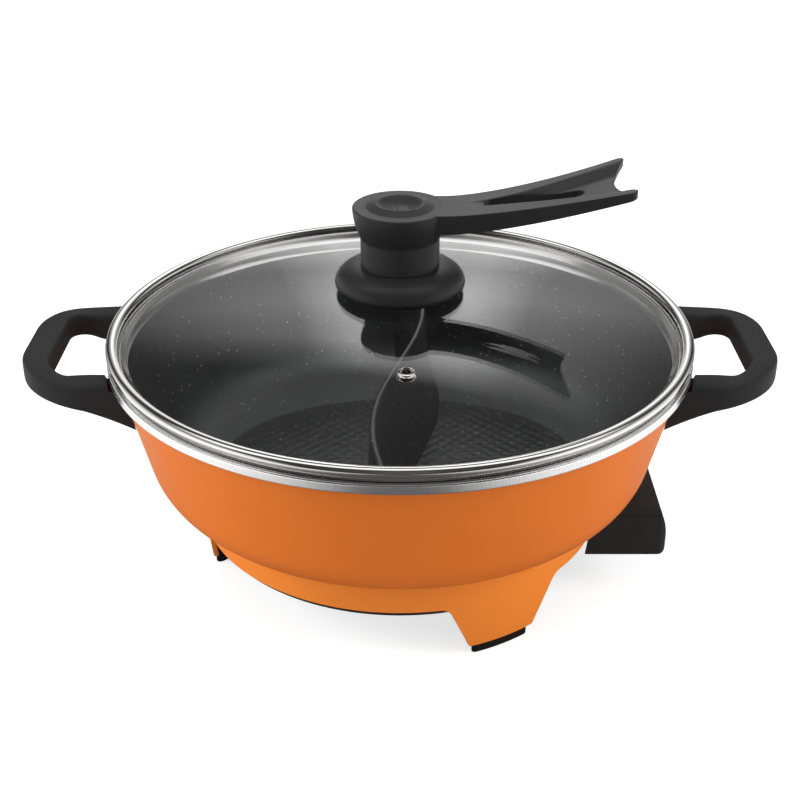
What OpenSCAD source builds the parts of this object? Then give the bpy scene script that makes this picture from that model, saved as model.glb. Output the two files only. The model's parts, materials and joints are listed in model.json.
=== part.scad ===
// Two-flavour electric hot pot: an aluminium pan with an S-shaped divider on a three-legged base,
// a lift-off glass lid whose long-armed knob also stands it on edge, and a control box under one handle.
// Millimetres, +Z up, the table at z = 0, the pan's axis at x = y = 0, the control box towards +X.

/* [Pan] */
// Outer diameter of the turned band round the rim
pan_rim_d = 324; // [316:1:336]
// Height of the rim's top face above the table
pan_rim_z = 142; // [138:1:148]
// Height of the turned band
pan_band_h = 5.3; // [4:0.1:7]
// How far the band stands out from the bowl's side
pan_band_step = 4.5; // [3.5:0.5:6]
// Lean of the bowl's side from upright, in degrees
pan_draft = 13.7; // [12:0.1:15]
// Outer radius of the bowl's lower corner
pan_corner_r = 34; // [30:1:38]
// Height of the bowl's flat underside above the table
pan_bottom_z = 55.6; // [54:0.2:58]
// Thickness of the bowl's side
pan_wall = 4; // [3:0.5:5]
// Thickness of the bowl's floor
pan_floor_t = 5; // [4:0.5:7]
// Width of each handle lug cast on the bowl
lug_w = 8; // [6:0.5:8.5]
// Height of each handle lug
lug_h = 8; // [7:0.5:9]
// How far each lug reaches past the rim
lug_reach = 8; // [5:1:9]

/* [Divider] */
// Depth of the divider's top edge below the rim
divider_drop = 17; // [12:1:30]
// Thickness of the divider at its top edge
divider_edge_t = 3.5; // [2.5:0.5:5]
// Thickness of the divider where it meets the floor
divider_root_t = 22; // [14:1:28]
// Sideways swing of each half of the S
divider_bow = 14; // [8:1:20]

/* [Heater] */
// Distance of the element's ring, at the tube's middle, inside the skirt
element_inset = 36; // [33:0.5:40]
// Diameter of the element's tube
element_tube_d = 8.4; // [7:0.1:9]
// Angle left open between the element's ends
element_gap = 28; // [26:1:30]
// Diameter of the element's terminal pins
element_pin_d = 4; // [3:0.5:5]
// Radial width of the heat plate that holds the element
heat_plate_w = 34; // [28:1:36]
// Thickness of the heat plate
heat_plate_t = 8; // [7:0.5:9]
// Depth of the element's groove in the heat plate
element_groove_h = 5; // [4:0.5:5.5]
// Diameter of the thermal cut-out's flange
cutout_d = 28; // [22:1:34]
// Height of the thermal cut-out
cutout_h = 11; // [8:0.5:12]
// Thickness of the heat shield
shield_t = 1; // [0.8:0.1:1.5]
// Room between the heat shield's edge and the skirt's outer face
shield_inset = 14; // [12:0.5:20]
// Distance of the studs inside the element's ring
stud_inset = 32; // [30:1:42]
// Diameter of a stud
stud_d = 12; // [10:0.5:14]
// Diameter of a stud's narrow end, below the heat shield
stud_neck_d = 8; // [7:0.5:8.5]

/* [Base] */
// Outer diameter of the skirt at its top
skirt_d = 236; // [232:1:240]
// Lean of the skirt and its legs from upright, in degrees
skirt_draft = 6.5; // [4:0.5:8]
// Height of the skirt's lower edge above the table
skirt_edge_z = 35.5; // [34:0.5:37]
// Wall of the skirt
skirt_wall = 3; // [2.5:0.5:3.5]
// Width of a leg where it leaves the skirt
leg_root_w = 70; // [62:1:74]
// Width of a leg at its foot
leg_foot_w = 43; // [37:1:47]
// Radius between a leg and the skirt's edge
leg_fillet_r = 7; // [4:0.5:9]
// Height of the rubber feet
foot_h = 6; // [4:0.5:7]
// How far a rubber foot stands in from the leg's face
foot_inset = 1.2; // [0.8:0.2:2.8]
// How far a rubber foot stands in at each end
foot_end_inset = 2.6; // [1.4:0.2:3.4]
// How much narrower a rubber foot is at its back, on each side
foot_taper = 9; // [6:0.5:10]
// Radial thickness of the posts inside the legs
post_depth = 12; // [9:0.5:15]
// How far a post's sides stand in from the leg's sides
post_inset = 10; // [8:0.5:12]
// Diameter of the peg that holds a rubber foot
foot_peg_d = 8; // [6:0.5:8.5]
// Thickness of the base plate
base_plate_t = 4.5; // [4:0.5:5.5]
// How far the base plate shows below the skirt's edge
base_plate_drop = 4; // [2.5:0.5:4]
// Length of a vent slot in the base plate
vent_slot_l = 22; // [14:1:26]
// Width of a vent slot
vent_slot_w = 3; // [2:0.5:4]

/* [Handles] */
// How far a handle reaches past the pan's rim
handle_reach = 46; // [43:0.5:52]
// Width of a handle along the rim
handle_w = 108; // [102:1:114]
// Outer corner radius of a handle
handle_corner_r = 40; // [32:1:44]
// Corner radius of a handle's finger opening
handle_grip_r = 13; // [8:0.5:20]
// Width of a handle's two arms
handle_arm_t = 16.5; // [14:0.1:18]
// Width of a handle's grip bar
handle_bar_t = 16.5; // [14:0.5:20]
// Depth of a handle's top below the pan's rim
handle_drop = 4.8; // [4:0.2:6]
// Dip of a handle's top along its arms
handle_dip = 1.9; // [0:0.1:3]
// Lift of a handle's top from the pan to the grip bar
handle_lift = 2.8; // [0:0.2:4]
// Height of a handle at the pan
handle_root_h = 29.4; // [28:0.2:31]
// Height of a handle at the grip bar
handle_bar_h = 14; // [12:0.5:18]
// Diameter of the handle screws
handle_screw_d = 4; // [3:0.5:4.5]

/* [Lid] */
// How far the lid's steel ring stands out past the pan's rim
lid_overhang = 0; // [-3:0.5:3]
// Height of the lid ring's round bead
lid_bead_h = 5.5; // [4.5:0.1:6]
// Height of the recessed foot below the bead
lid_foot_h = 2.2; // [1.8:0.1:4]
// Depth of the lip that locates the lid in the pan
lid_lip_h = 4; // [2:0.5:6]
// Thickness of the lid's glass
glass_t = 3.6; // [3:0.1:4]
// Rise of the glass dome above its edge
dome_h = 23.5; // [18:0.5:30]
// Diameter of the steam vent's flange
vent_d = 9.7; // [8:0.1:12]
// Bore of the steam vent
vent_bore_d = 4.4; // [3:0.1:5]
// Distance of the steam vent from the lid's axis
vent_r = 91.5; // [80:0.5:110]
// Direction of the steam vent round the lid, in degrees
vent_angle = -88; // [-180:1:180]

/* [Knob] */
// Diameter of the knob's flange
flange_d = 71.4; // [64:0.1:78]
// Height of the flange above the glass
flange_h = 12.5; // [10:0.5:15]
// Diameter of the knob's stem
stem_d = 43; // [40:0.5:44]
// Height of the knob above its flange
stem_h = 33; // [30:0.5:36]
// Diameter of the knob's top disc
knob_top_d = 51.5; // [49:0.5:56]
// Diameter of the dished cap
cap_d = 40; // [36:0.5:43]
// Thickness of the dished cap
cap_t = 5; // [4:0.5:6]
// Reach of the arm's prongs from the lid's axis
arm_reach = 122; // [110:1:130]
// Rise of the arm's tip above the knob's top
arm_rise = 18; // [10:0.5:24]
// Width of the arm at the knob
arm_root_w = 33; // [28:0.5:38]
// Width across the arm's prongs
arm_tip_w = 59.4; // [50:0.5:66]
// Thickness of the arm at the knob
arm_root_t = 10.4; // [9:0.1:12]
// Thickness of the arm at its tip
arm_tip_t = 4.4; // [3:0.2:6]
// Depth of the crescent notch in the arm's end
arm_notch = 8; // [4:0.5:12]
// Distance of the hanging slot's near end from the axis
arm_slot_start = 45; // [40:1:52]
// Length of the hanging slot
arm_slot_l = 53; // [40:1:58]
// Width of the hanging slot at its middle
arm_slot_w = 14; // [11:0.5:16]
// Width of the hanging slot at its ends
arm_slot_end_w = 9; // [8.5:0.5:10]
// Diameter of the knob's screw
knob_screw_d = 6; // [5:0.5:7]

/* [Control box] */
// Width of the control box
box_w = 90; // [86:1:96]
// Height of the box's underside above the table
box_floor_z = 24.5; // [23:0.5:25]
// Height of the box's top above the table
box_top_z = 55.3; // [54.5:0.1:55.5]
// How far the box stands out from the skirt
box_depth = 34; // [32:0.5:40]
// How far the box's end leans back at its top
box_end_lean = 5.7; // [3:0.1:7]
// Wall of the box
box_wall = 2.2; // [1.8:0.1:2.5]
// Radius of the box's upright corners
box_corner_r = 5; // [3:0.5:6]
// Height of the cover's sides
box_cover_h = 5; // [4:0.5:6]
// Diameter of the temperature dial
dial_d = 22; // [20:0.5:22.5]
// Length of the dial along its axis
dial_l = 6; // [5:0.5:7]
// Height of the grip bar across the dial's face
dial_bar_h = 1.8; // [1:0.2:2.4]
// Diameter of the thermostat's spindle
spindle_d = 6; // [5:0.5:7]
// Width of the mains inlet's body
inlet_w = 20; // [18:0.5:21]
// Height of the mains inlet's body
inlet_h = 16; // [14:0.5:17]
// Depth of the mains inlet's body
inlet_depth = 18; // [16:0.5:18.5]
// Diameter of the indicator lamp
lamp_d = 6; // [5:0.5:8]
// Diameter of the box's screws
box_screw_d = 3; // [2.5:0.5:3.5]

/* [Fits] */
// Clearance between pieces that sit in or on each other
seat_gap = 0.3; // [0.2:0.05:0.5]
// Radial clearance of the spindle in its bush
run_gap = 0.05; // [0.02:0.01:0.1]

/* [Hidden] */
$fn = 96;
arc_steps = 14;

// How far a cut runs past the face it opens
past = 1;

// Radial room round a screw or a pressed-in piece
screw_fit = 0.1;

// Size of a screw's head: how much wider than its shank, and its height, as shares of the shank
head_ratio = 1;
head_h_ratio = 0.6;

// Levels above the table
band_z = pan_rim_z - pan_band_h;
floor_z = pan_bottom_z + pan_floor_t;
skirt_top_z = pan_bottom_z - seat_gap;
plate_z = skirt_edge_z - base_plate_drop;
plate_top_z = plate_z + base_plate_t;

// Pan
rim_r = pan_rim_d / 2;
inner_corner_r = pan_corner_r - pan_wall;
divider_top_z = pan_rim_z - divider_drop;
divider_gap = 0.1;

// Handles and the lugs they sit on
handle_x = rim_r + handle_reach;
handle_arm_y = (handle_w - handle_arm_t) / 2;
handle_top_z = pan_rim_z - handle_drop;
handle_floor_z = handle_top_z - handle_root_h;
handle_root_in = 28;
handle_root_x = rim_r - handle_root_in;
handle_edge = 4;
handle_sweep = 1.6;
band_room = 1.5;
lug_rise = 16;
lug_z = handle_floor_z + lug_rise;
lug_root_in = 20;
lug_root_x = rim_r - pan_band_step - lug_root_in;
lug_tip_x = rim_r + lug_reach;
lug_roof = 2;
handle_seat_t = 4;
handle_screw_in = 9;
handle_screw_x = lug_tip_x - handle_screw_in;
handle_hole_l = lug_h + handle_seat_t - lug_roof;
handle_hole_room = 1;

// Heater
element_r = element_tube_d / 2;
element_mid_r = skirt_d / 2 - element_inset;
seal_r = 0.8 * element_r;
groove_roof_z = pan_bottom_z - heat_plate_t + element_groove_h;
element_z = groove_roof_z - seat_gap - element_r;
heat_plate_r = element_mid_r + heat_plate_w / 2;
pin_x = element_mid_r * cos(element_gap / 2);
pin_y = element_mid_r * sin(element_gap / 2);
pin_out = 6;
pin_end_x = heat_plate_r + pin_out;
shield_z = (plate_top_z + element_z - element_r - shield_t) / 2;
stud_ring_r = element_mid_r - stud_inset;
stud_angles = [30, 150, 270];
stud_hole_l = 14;
base_screw_grip = 10;
base_screw_l = base_plate_t + base_screw_grip;
cutout_flange_t = 2;
cutout_can_d = cutout_d * 0.62;
lead_r = 1.5;

// Base
leg_angles = [60, 180, 300];
leg_kink = 15;
post_gap = 2 * seat_gap;
peg_l = 6;
ledge_t = 2;
ledge_w = 5;
window_rim = 3;
window_room = 4;
window_w = 2 * (pin_y + window_room) + element_pin_d;
vent_slots = 12;
vent_slot_out = 10;
vent_slot_r = stud_ring_r + vent_slot_out;

// Lid
lid_r = rim_r + lid_overhang;
seat_z = pan_rim_z + seat_gap;
bead_z = seat_z + lid_foot_h;
ring_top_z = bead_z + lid_bead_h;
bead_r = lid_bead_h / 2;
glass_r = lid_r - lid_bead_h;
glass_gap = seat_gap / 2;
glass_drop = 1;
lip_t = 0.6;
ring_w = 5;
ring_lap = 0.8;
dome_r = (glass_r * glass_r + dome_h * dome_h) / (2 * dome_h);
dome_z = ring_top_z - glass_drop + dome_h - dome_r;
crown_z = dome_z + dome_r;
eyelet_step = 1;
eyelet_d = vent_d - 2 * eyelet_step;
eyelet_t = 1.2;

// Knob
screw_r = knob_screw_d / 2;
flange_top_z = crown_z + flange_h;
flange_brim = 3;
flange_room = 1;
knob_top_z = flange_top_z + stem_h;
shoulder_drop = 10.5;
shoulder_h = 6;
shoulder_z = knob_top_z - arm_root_t - shoulder_drop;
under_z = crown_z - glass_t;
seal_t = 1.2;
washer_t = 1.6;
washer_r = 13;
insert_wall = 2;
insert_r = screw_r + insert_wall;
insert_l = 14;
insert_drop = 2;
insert_z = knob_top_z - cap_t - insert_l - insert_drop;
screw_short = 8;
screw_l = knob_top_z - cap_t - under_z - screw_short;
arm_u = arm_reach - knob_top_d / 2;
arm_curl = 1.45;
arm_flare = 1.6;
dish_r = cap_d * 0.34;
dish_h = 2;
cap_rise = 0.3;

// Control box
box_reach = skirt_d / 2 + box_depth;
seam_z = box_top_z - box_cover_h;
box_z = (box_floor_z + box_top_z) / 2;
box_toe_h = 6.5;
box_toe_z = box_floor_z + box_toe_h;
box_edge_r = 4;
dial_r = dial_d / 2;
dial_bar_w = 4;
dial_room = 1;
pocket_r = dial_r + dial_room;
cup_wall = 1.8;
cup_r = pocket_r + cup_wall;
dial_tip_x = box_end_x(box_z + dial_r) - dial_bar_h;
dial_x = dial_tip_x - dial_l;
dial_gap = 0.6;
pocket_x = dial_x - dial_gap;
cup_x = pocket_x - box_wall;
spindle_r = spindle_d / 2;
bush_wall = 2.5;
bush_r = spindle_r + bush_wall;
bush_l = 8;
thermostat_size = [11, 26, 18];
thermostat_x = cup_x - bush_l;
sensor_r = 2.5;
sensor_drop = 3;
sensor_z = box_z + thermostat_size.z / 2 - sensor_drop;
lamp_r = lamp_d / 2;
lamp_y = -0.32 * box_w;
lamp_in = 3;
lamp_x = box_end_x(box_z) - box_wall - lamp_in;
lamp_flange_t = 2;
lamp_proud = 1;
lamp_body_l = 14;
boss_wall = 2;
screw_boss_r = box_screw_d / 2 + boss_wall;
boss_inset = box_wall + screw_boss_r + seat_gap;
boss_x = box_end_x(box_top_z) - boss_inset;
boss_hole_l = 12;
box_screw_l = 10;
inlet_room = 0.5;
inlet_x = boss_x - screw_boss_r - inlet_room - inlet_w / 2;
inlet_back_y = box_w / 2 - inlet_depth;
inlet_wall = 2;
inlet_back_t = 3;
inlet_lip = 1.5;
pin_size = [2, 11, 4];
pin_pitch = 5.5;
pin_drop = 1.5;
tongue_w = 48;
tongue_in = 26;
tongue_lap = 6;
tongue_x = skirt_d / 2 - tongue_in;
tongue_l = tongue_in + tongue_lap;
tongue_boss_in = 18;
tongue_boss_x = skirt_d / 2 - tongue_boss_in;
tongue_boss_y = 15;
tongue_hole_l = 8;
tongue_screw_l = 7;
block_size = [12, 9, 13];
block_in = 1;
block_x = inlet_x - inlet_w / 2 + block_in;

// Points along an arc round [x, y], from angle a to angle b
function arc(x, y, r, a, b, n = arc_steps) =
  [for (i = [0:n]) [x + r * cos(a + (b - a) * i / n), y + r * sin(a + (b - a) * i / n)]];

// Radius of the bowl's side at height z, outside and inside
function bowl_r(z) = rim_r - pan_band_step - (band_z - z) * tan(pan_draft);
function cavity_r(z) = bowl_r(z) - pan_wall / cos(pan_draft);

// Outer radius of the skirt and its legs at height z
function skirt_r(z) = skirt_d / 2 - (skirt_top_z - z) * tan(skirt_draft);

// Height of the glass at radius r, on top and underneath
function glass_top(r) = dome_z + sqrt(dome_r * dome_r - r * r);
function glass_under(r) = dome_z + sqrt(pow(dome_r - glass_t, 2) - r * r);

// End of the control box at height z: a shallow bow that leans back towards the top
function box_end_x(z) = box_reach - box_end_lean * pow(max(0, z - box_toe_z) / (box_top_z - box_toe_z), 2);

// Side of the arm: height of its top, thickness and half width at distance x from the axis
function arm_share(x) = max(0, (x - knob_top_d / 2) / arm_u);
function arm_top(x) = knob_top_z + arm_rise * pow(arm_share(x), arm_curl);
function arm_thick(x) = arm_root_t + (arm_tip_t - arm_root_t) * pow(arm_share(x), arm_flare);
function arm_half_w(x) = (arm_root_w + (arm_tip_w - arm_root_w) * pow(arm_share(x), arm_flare)) / 2;

// Outer face of the bowl, grown by gap, from the underside up to height top
function bowl_outline(gap, top) =
  let (r = pan_corner_r + gap, z = pan_bottom_z + pan_corner_r)
  let (c = bowl_r(z) - pan_corner_r / cos(pan_draft))
  concat(
    [[0, pan_bottom_z - gap]],
    arc(c, z, r, -90, -pan_draft),
    [[bowl_r(top) + gap / cos(pan_draft), top], [0, top]]);

// Space inside the pan, up to height top
function cavity_outline(top) =
  let (z = floor_z + inner_corner_r, c = cavity_r(z) - inner_corner_r / cos(pan_draft))
  concat([[0, floor_z]], arc(c, z, inner_corner_r, -90, -pan_draft), [[cavity_r(top), top], [0, top]]);

// A round rod between two points
module rod(a, b, r) {
  d = b - a;
  translate(a)
    rotate([0, acos(d.z / norm(d)), atan2(d.y, d.x)])
      cylinder(r = r, h = norm(d));
}

// A screw that points up, with its head's underside at z = 0
module screw(d, l) {
  translate([0, 0, -d * head_h_ratio]) cylinder(d = d * (1 + head_ratio), h = d * head_h_ratio);
  cylinder(d = d, h = l);
}

// A cylinder along +X
module along_x(r, l) {
  rotate([0, 90, 0]) cylinder(r = r, h = l);
}

module pan_cavity() {
  rotate_extrude() polygon(cavity_outline(pan_rim_z + past));
}

module handle_lugs(gap) {
  for (sx = [0, 180], sy = [-1, 1])
    rotate([0, 0, sx])
      translate([lug_root_x, sy * handle_arm_y - lug_w / 2 - gap, lug_z - gap])
        cube([lug_tip_x + gap - lug_root_x, lug_w + 2 * gap, lug_h + 2 * gap]);
}

// Places its children at the four handle screws, at the height of the screws' seats
module at_handle_screws() {
  for (sx = [0, 180], sy = [-1, 1])
    rotate([0, 0, sx])
      translate([handle_screw_x, sy * handle_arm_y, lug_z - handle_seat_t])
        children();
}

module pan() {
  color("#e07a34")
    difference() {
      union() {
        rotate_extrude() polygon(bowl_outline(0, pan_rim_z));
        rotate_extrude() translate([bowl_r(band_z) - pan_wall / 2, band_z])
          square([rim_r - bowl_r(band_z) + pan_wall / 2, pan_band_h]);
        handle_lugs(0);
      }
      pan_cavity();
      at_handle_screws() cylinder(d = handle_screw_d + 2 * screw_fit, h = handle_hole_l);
    }
}

// Radius of the space inside the pan at height z, corner included
function room_r(z) =
  let (cz = floor_z + inner_corner_r, c = cavity_r(cz) - inner_corner_r / cos(pan_draft))
  z > cz - inner_corner_r * sin(pan_draft)
    ? cavity_r(z)
    : c + sqrt(pow(inner_corner_r, 2) - pow(cz - z, 2));

// The divider's plan: sideways place of its middle at y, and how much a slanting wall widens along x
function divider_x(y) = divider_bow * sin(180 * y / room_r(divider_top_z));
function divider_slant(y) =
  sqrt(1 + pow(divider_bow * PI / room_r(divider_top_z) * cos(180 * y / room_r(divider_top_z)), 2));

// Half thickness and height of the divider at share v of its way down
function divider_half_t(v) = (divider_edge_t + (divider_root_t - divider_edge_t) * pow(v, 2.2)) / 2;
function divider_level(v) = divider_top_z + (floor_z + divider_gap - divider_top_z) * v;

// A point of the divider's wall on side s, at share v of its way down and share t of its way along
function divider_point(s, v, t) =
  let (r = room_r(divider_level(v)) - divider_gap, w = s * divider_half_t(v))
  let (guess = sqrt(r * r - pow(abs(divider_x(t * r)) + abs(w), 2)))
  let (reach = sqrt(r * r - pow(divider_x(sign(t) * guess) + w * divider_slant(guess), 2)))
  let (y = t * reach)
  [divider_x(y) + w * divider_slant(y), y, divider_level(v)];

// The S-shaped wall: its section runs up one side and down the other, from wall to wall of the pan
module pan_divider() {
  rows = 36;
  levels = 10;
  ring = 2 * (levels + 1);
  sections = [for (i = [0:rows]) let (t = 2 * i / rows - 1)
    concat(
      [for (k = [levels:-1:0]) divider_point(-1, k / levels, t)],
      [for (k = [0:levels]) divider_point(1, k / levels, t)])];
  sides = [for (i = [0:rows - 1], j = [0:ring - 1])
    let (a = i * ring + j, b = i * ring + (j + 1) % ring)
    each [[a, b, b + ring], [a, b + ring, a + ring]]];
  ends = [for (e = [0, rows * ring], k = [0:levels - 1])
    let (a = e + k, b = e + k + 1, c = e + ring - 2 - k, d = e + ring - 1 - k)
    each e == 0 ? [[a, d, c], [a, c, b]] : [[a, c, d], [a, b, c]]];
  color("#3a3a3c")
    polyhedron(points = [for (section = sections) each section], faces = concat(sides, ends));
}

module heat_plate() {
  color("#b8babd")
    difference() {
      rotate_extrude() translate([element_mid_r - heat_plate_w / 2, pan_bottom_z - heat_plate_t])
        square([heat_plate_w, heat_plate_t]);
      rotate_extrude() translate([element_mid_r - element_r - seat_gap, pan_bottom_z - heat_plate_t - past])
        square([element_tube_d + 2 * seat_gap, element_groove_h + past]);
      for (s = [-1, 1])
        translate([pin_x, s * pin_y - element_r - seat_gap, pan_bottom_z - heat_plate_t - past])
          cube([heat_plate_w, element_tube_d + 2 * seat_gap, element_groove_h + past]);
    }
}

// The tube's ends turn outwards into short end seals, which carry the terminal pins
module heating_element() {
  color("#6d6a66") {
    rotate([0, 0, element_gap / 2])
      rotate_extrude(angle = 360 - element_gap)
        translate([element_mid_r, element_z]) circle(r = element_r);
    for (s = [-1, 1])
      translate([pin_x, s * pin_y, element_z]) {
        translate([-seal_r / 2, 0, 0]) along_x(seal_r, heat_plate_r - pin_x);
        along_x(element_pin_d / 2, pin_end_x - pin_x);
      }
  }
}

module thermal_cutout() {
  color("#d8d2c4") {
    translate([0, 0, pan_bottom_z - cutout_flange_t]) cylinder(d = cutout_d, h = cutout_flange_t);
    translate([0, 0, pan_bottom_z - cutout_h]) cylinder(d = cutout_can_d, h = cutout_h - past);
  }
}

module at_studs() {
  for (a = stud_angles) rotate([0, 0, a]) translate([stud_ring_r, 0, 0]) children();
}

module pan_studs() {
  color("#9a9da1")
    at_studs()
      difference() {
        union() {
          translate([0, 0, shield_z + shield_t])
            cylinder(d = stud_d, h = pan_bottom_z - shield_z - shield_t);
          translate([0, 0, plate_top_z])
            cylinder(d = stud_neck_d, h = pan_bottom_z - plate_top_z - past);
        }
        translate([0, 0, plate_top_z - past])
          cylinder(d = box_screw_d + 2 * screw_fit, h = stud_hole_l + past);
      }
}

module heat_shield() {
  color("#c9ccd0")
    difference() {
      translate([0, 0, shield_z]) cylinder(r = skirt_d / 2 - shield_inset, h = shield_t);
      at_studs()
        translate([0, 0, shield_z - past])
          cylinder(d = stud_neck_d + 2 * seat_gap, h = shield_t + 2 * past);
    }
}

// A ring between heights z0 and z1 that follows the skirt's lean, from out to in inside its outer face
module skirt_ring(z0, z1, out, in) {
  rotate_extrude()
    polygon([
      [skirt_r(z0) - in, z0], [skirt_r(z0) - out, z0],
      [skirt_r(z1) - out, z1], [skirt_r(z1) - in, z1]]);
}

// Right half of a leg's outline seen from outside, drawn in by inset, with a fillet under the skirt's edge,
// which it meets at the angle leg_kink
function leg_half(inset, fillet) =
  let (lean = atan((leg_root_w - leg_foot_w) / 2 / (skirt_edge_z - foot_h)))
  let (root = leg_root_w / 2 - inset, reach = fillet / tan((90 + lean) / 2))
  let (lift = fillet * (1 - cos(leg_kink)))
  concat(
    [[leg_foot_w / 2 - inset, foot_h]],
    fillet > 0
      ? arc(root + reach, skirt_edge_z - fillet + lift, fillet, 180 - lean, 90, 8)
      : [[root, skirt_edge_z]],
    [[root + reach, skirt_edge_z + past]]);

// Both halves of an outline that is the same left and right
function both_sides(half) =
  concat(half, [for (i = [len(half) - 1:-1:0]) [-half[i].x, half[i].y]]);

module at_leg(a) {
  rotate([0, 0, a]) children();
}

// A leg-shaped prism that runs outwards along +X
module leg_prism(inset, fillet) {
  rotate([90, 0, 90]) translate([0, 0, skirt_d / 4]) linear_extrude(skirt_d / 2)
    polygon(both_sides(leg_half(inset, fillet)));
}

module base_skirt() {
  color("#ee8236")
    difference() {
      union() {
        intersection() {
          skirt_ring(foot_h, skirt_top_z, 0, skirt_wall);
          union() {
            translate([0, 0, skirt_edge_z]) cylinder(d = 2 * skirt_d, h = skirt_top_z);
            for (a = leg_angles) at_leg(a) leg_prism(0, leg_fillet_r);
          }
        }
        skirt_ring(plate_top_z, plate_top_z + ledge_t, skirt_wall / 2, skirt_wall + ledge_w);
      }
      translate([skirt_d / 4, -window_w / 2, plate_top_z + window_rim])
        cube([skirt_d / 2, window_w, skirt_top_z - plate_top_z - 2 * window_rim]);
    }
}

module foot_peg_axis() {
  translate([skirt_r(foot_h) - skirt_wall - seat_gap - post_depth / 2, 0, 0]) children();
}

module base_plate() {
  color("#2a2a2c")
    difference() {
      union() {
        translate([0, 0, plate_z])
          cylinder(r = skirt_r(plate_z) - skirt_wall - seat_gap, h = base_plate_t);
        for (a = leg_angles)
          at_leg(a)
            intersection() {
              skirt_ring(foot_h, plate_z + past, skirt_wall + post_gap, skirt_wall + post_gap + post_depth);
              leg_prism(post_inset, 0);
            }
        for (s = [-1, 1])
          translate([tongue_boss_x, s * tongue_boss_y, box_floor_z + box_wall])
            cylinder(r = screw_boss_r, h = plate_z - box_floor_z - box_wall + past);
      }
      for (a = leg_angles)
        at_leg(a) foot_peg_axis() cylinder(d = foot_peg_d + 2 * screw_fit, h = foot_h + peg_l + past);
      at_studs() translate([0, 0, plate_z - past])
        cylinder(d = box_screw_d + 4 * screw_fit, h = base_plate_t + 2 * past);
      for (s = [-1, 1])
        translate([tongue_boss_x, s * tongue_boss_y, box_floor_z])
          cylinder(d = box_screw_d + 2 * screw_fit, h = tongue_hole_l);
      for (i = [0:vent_slots - 1])
        rotate([0, 0, (i + 0.5) * 360 / vent_slots])
          translate([vent_slot_r, -vent_slot_w / 2, plate_z - past])
            cube([vent_slot_l, vent_slot_w, base_plate_t + 2 * past]);
    }
}

// A rubber foot under the leg at angle a
module rubber_foot(a) {
  foot_depth = skirt_wall + seat_gap + post_depth;
  foot_half = leg_foot_w / 2 - foot_end_inset - foot_taper / 2;
  color("#1c1c1d")
    at_leg(a) {
      intersection() {
        rotate_extrude()
          translate([skirt_r(foot_h) - foot_depth, 0]) square([foot_depth - foot_inset, foot_h]);
        translate([0, 0, -past]) linear_extrude(foot_h + 2 * past)
          polygon([for (c = [[-1, -1], [1, -1], [1, 1], [-1, 1]])
            [skirt_r(foot_h) - foot_depth / 2 + c.x * foot_depth, c.y * (foot_half + c.x * foot_taper)]]);
      }
      foot_peg_axis() translate([0, 0, foot_h - past]) cylinder(d = foot_peg_d, h = peg_l + past);
    }
}

module rubber_foot_rear() { rubber_foot(leg_angles[0]); }

module rubber_foot_left() { rubber_foot(leg_angles[1]); }

module rubber_foot_front() { rubber_foot(leg_angles[2]); }

module base_screws() {
  color("#8d9094")
    at_studs() translate([0, 0, plate_z]) screw(box_screw_d, base_screw_l);
}

// Outline of a handle's top, in plan
function handle_plan(x0, half_w, x1, r) =
  concat(
    [[x0, -half_w]],
    arc(x1 - r, -half_w + r, r, -90, 0),
    arc(x1 - r, half_w - r, r, 0, 90),
    [[x0, half_w]]);

// Side of a handle: the top dips along the arms and lifts to the grip bar; the underside sweeps up to it
module handle_side() {
  x0 = handle_root_x - past;
  x1 = handle_x;
  e = handle_edge;
  bar_x = x1 - handle_bar_t / 2;
  bar_z = handle_top_z + handle_lift;
  low_z = bar_z - handle_bar_h;
  foot_x = sqrt(pow(bowl_r(handle_floor_z), 2) - pow(handle_w / 2, 2));
  polygon(concat(
    [[x0, handle_top_z]],
    [for (i = [0:arc_steps]) let (u = i / arc_steps)
      [rim_r + (bar_x - rim_r) * u,
       handle_top_z + handle_lift * u * u * (3 - 2 * u) - handle_dip / 2 * (1 - cos(360 * u))]],
    [[x1 - e, bar_z - e / 4], [x1, bar_z - e], [x1, low_z + e], [x1 - e, low_z]],
    [for (i = [arc_steps:-1:0]) let (u = i / arc_steps)
      [foot_x + (bar_x - foot_x) * u, low_z - (low_z - handle_floor_z) * pow(1 - u, handle_sweep)]],
    [[x0, handle_floor_z]]));
}

module handle() {
  color("#2b2b2d")
    difference() {
      intersection() {
        translate([0, 0, handle_floor_z - past])
          linear_extrude(handle_root_h + handle_lift + 2 * past)
            difference() {
              polygon(handle_plan(handle_root_x, handle_w / 2, handle_x, handle_corner_r));
              polygon(handle_plan(0, handle_w / 2 - handle_arm_t, handle_x - handle_bar_t, handle_grip_r));
            }
        rotate([90, 0, 0]) translate([0, 0, -handle_w]) linear_extrude(2 * handle_w) handle_side();
      }
      rotate_extrude() polygon(bowl_outline(seat_gap, pan_rim_z));
      translate([0, 0, lug_z + lug_h + lug_roof]) cylinder(r = rim_r + band_room, h = handle_root_h);
      handle_lugs(seat_gap);
      at_handle_screws() {
        translate([0, 0, -past]) cylinder(d = handle_screw_d + 4 * screw_fit, h = lug_h);
        translate([0, 0, -handle_root_h])
          cylinder(d = handle_screw_d * (1 + head_ratio) + 4 * screw_fit, h = handle_root_h);
      }
    }
}

module right_handle() { handle(); }

module left_handle() { rotate([0, 0, 180]) handle(); }

module handle_screws() {
  color("#8d9094") at_handle_screws() screw(handle_screw_d, handle_hole_l - handle_hole_room);
}

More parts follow.
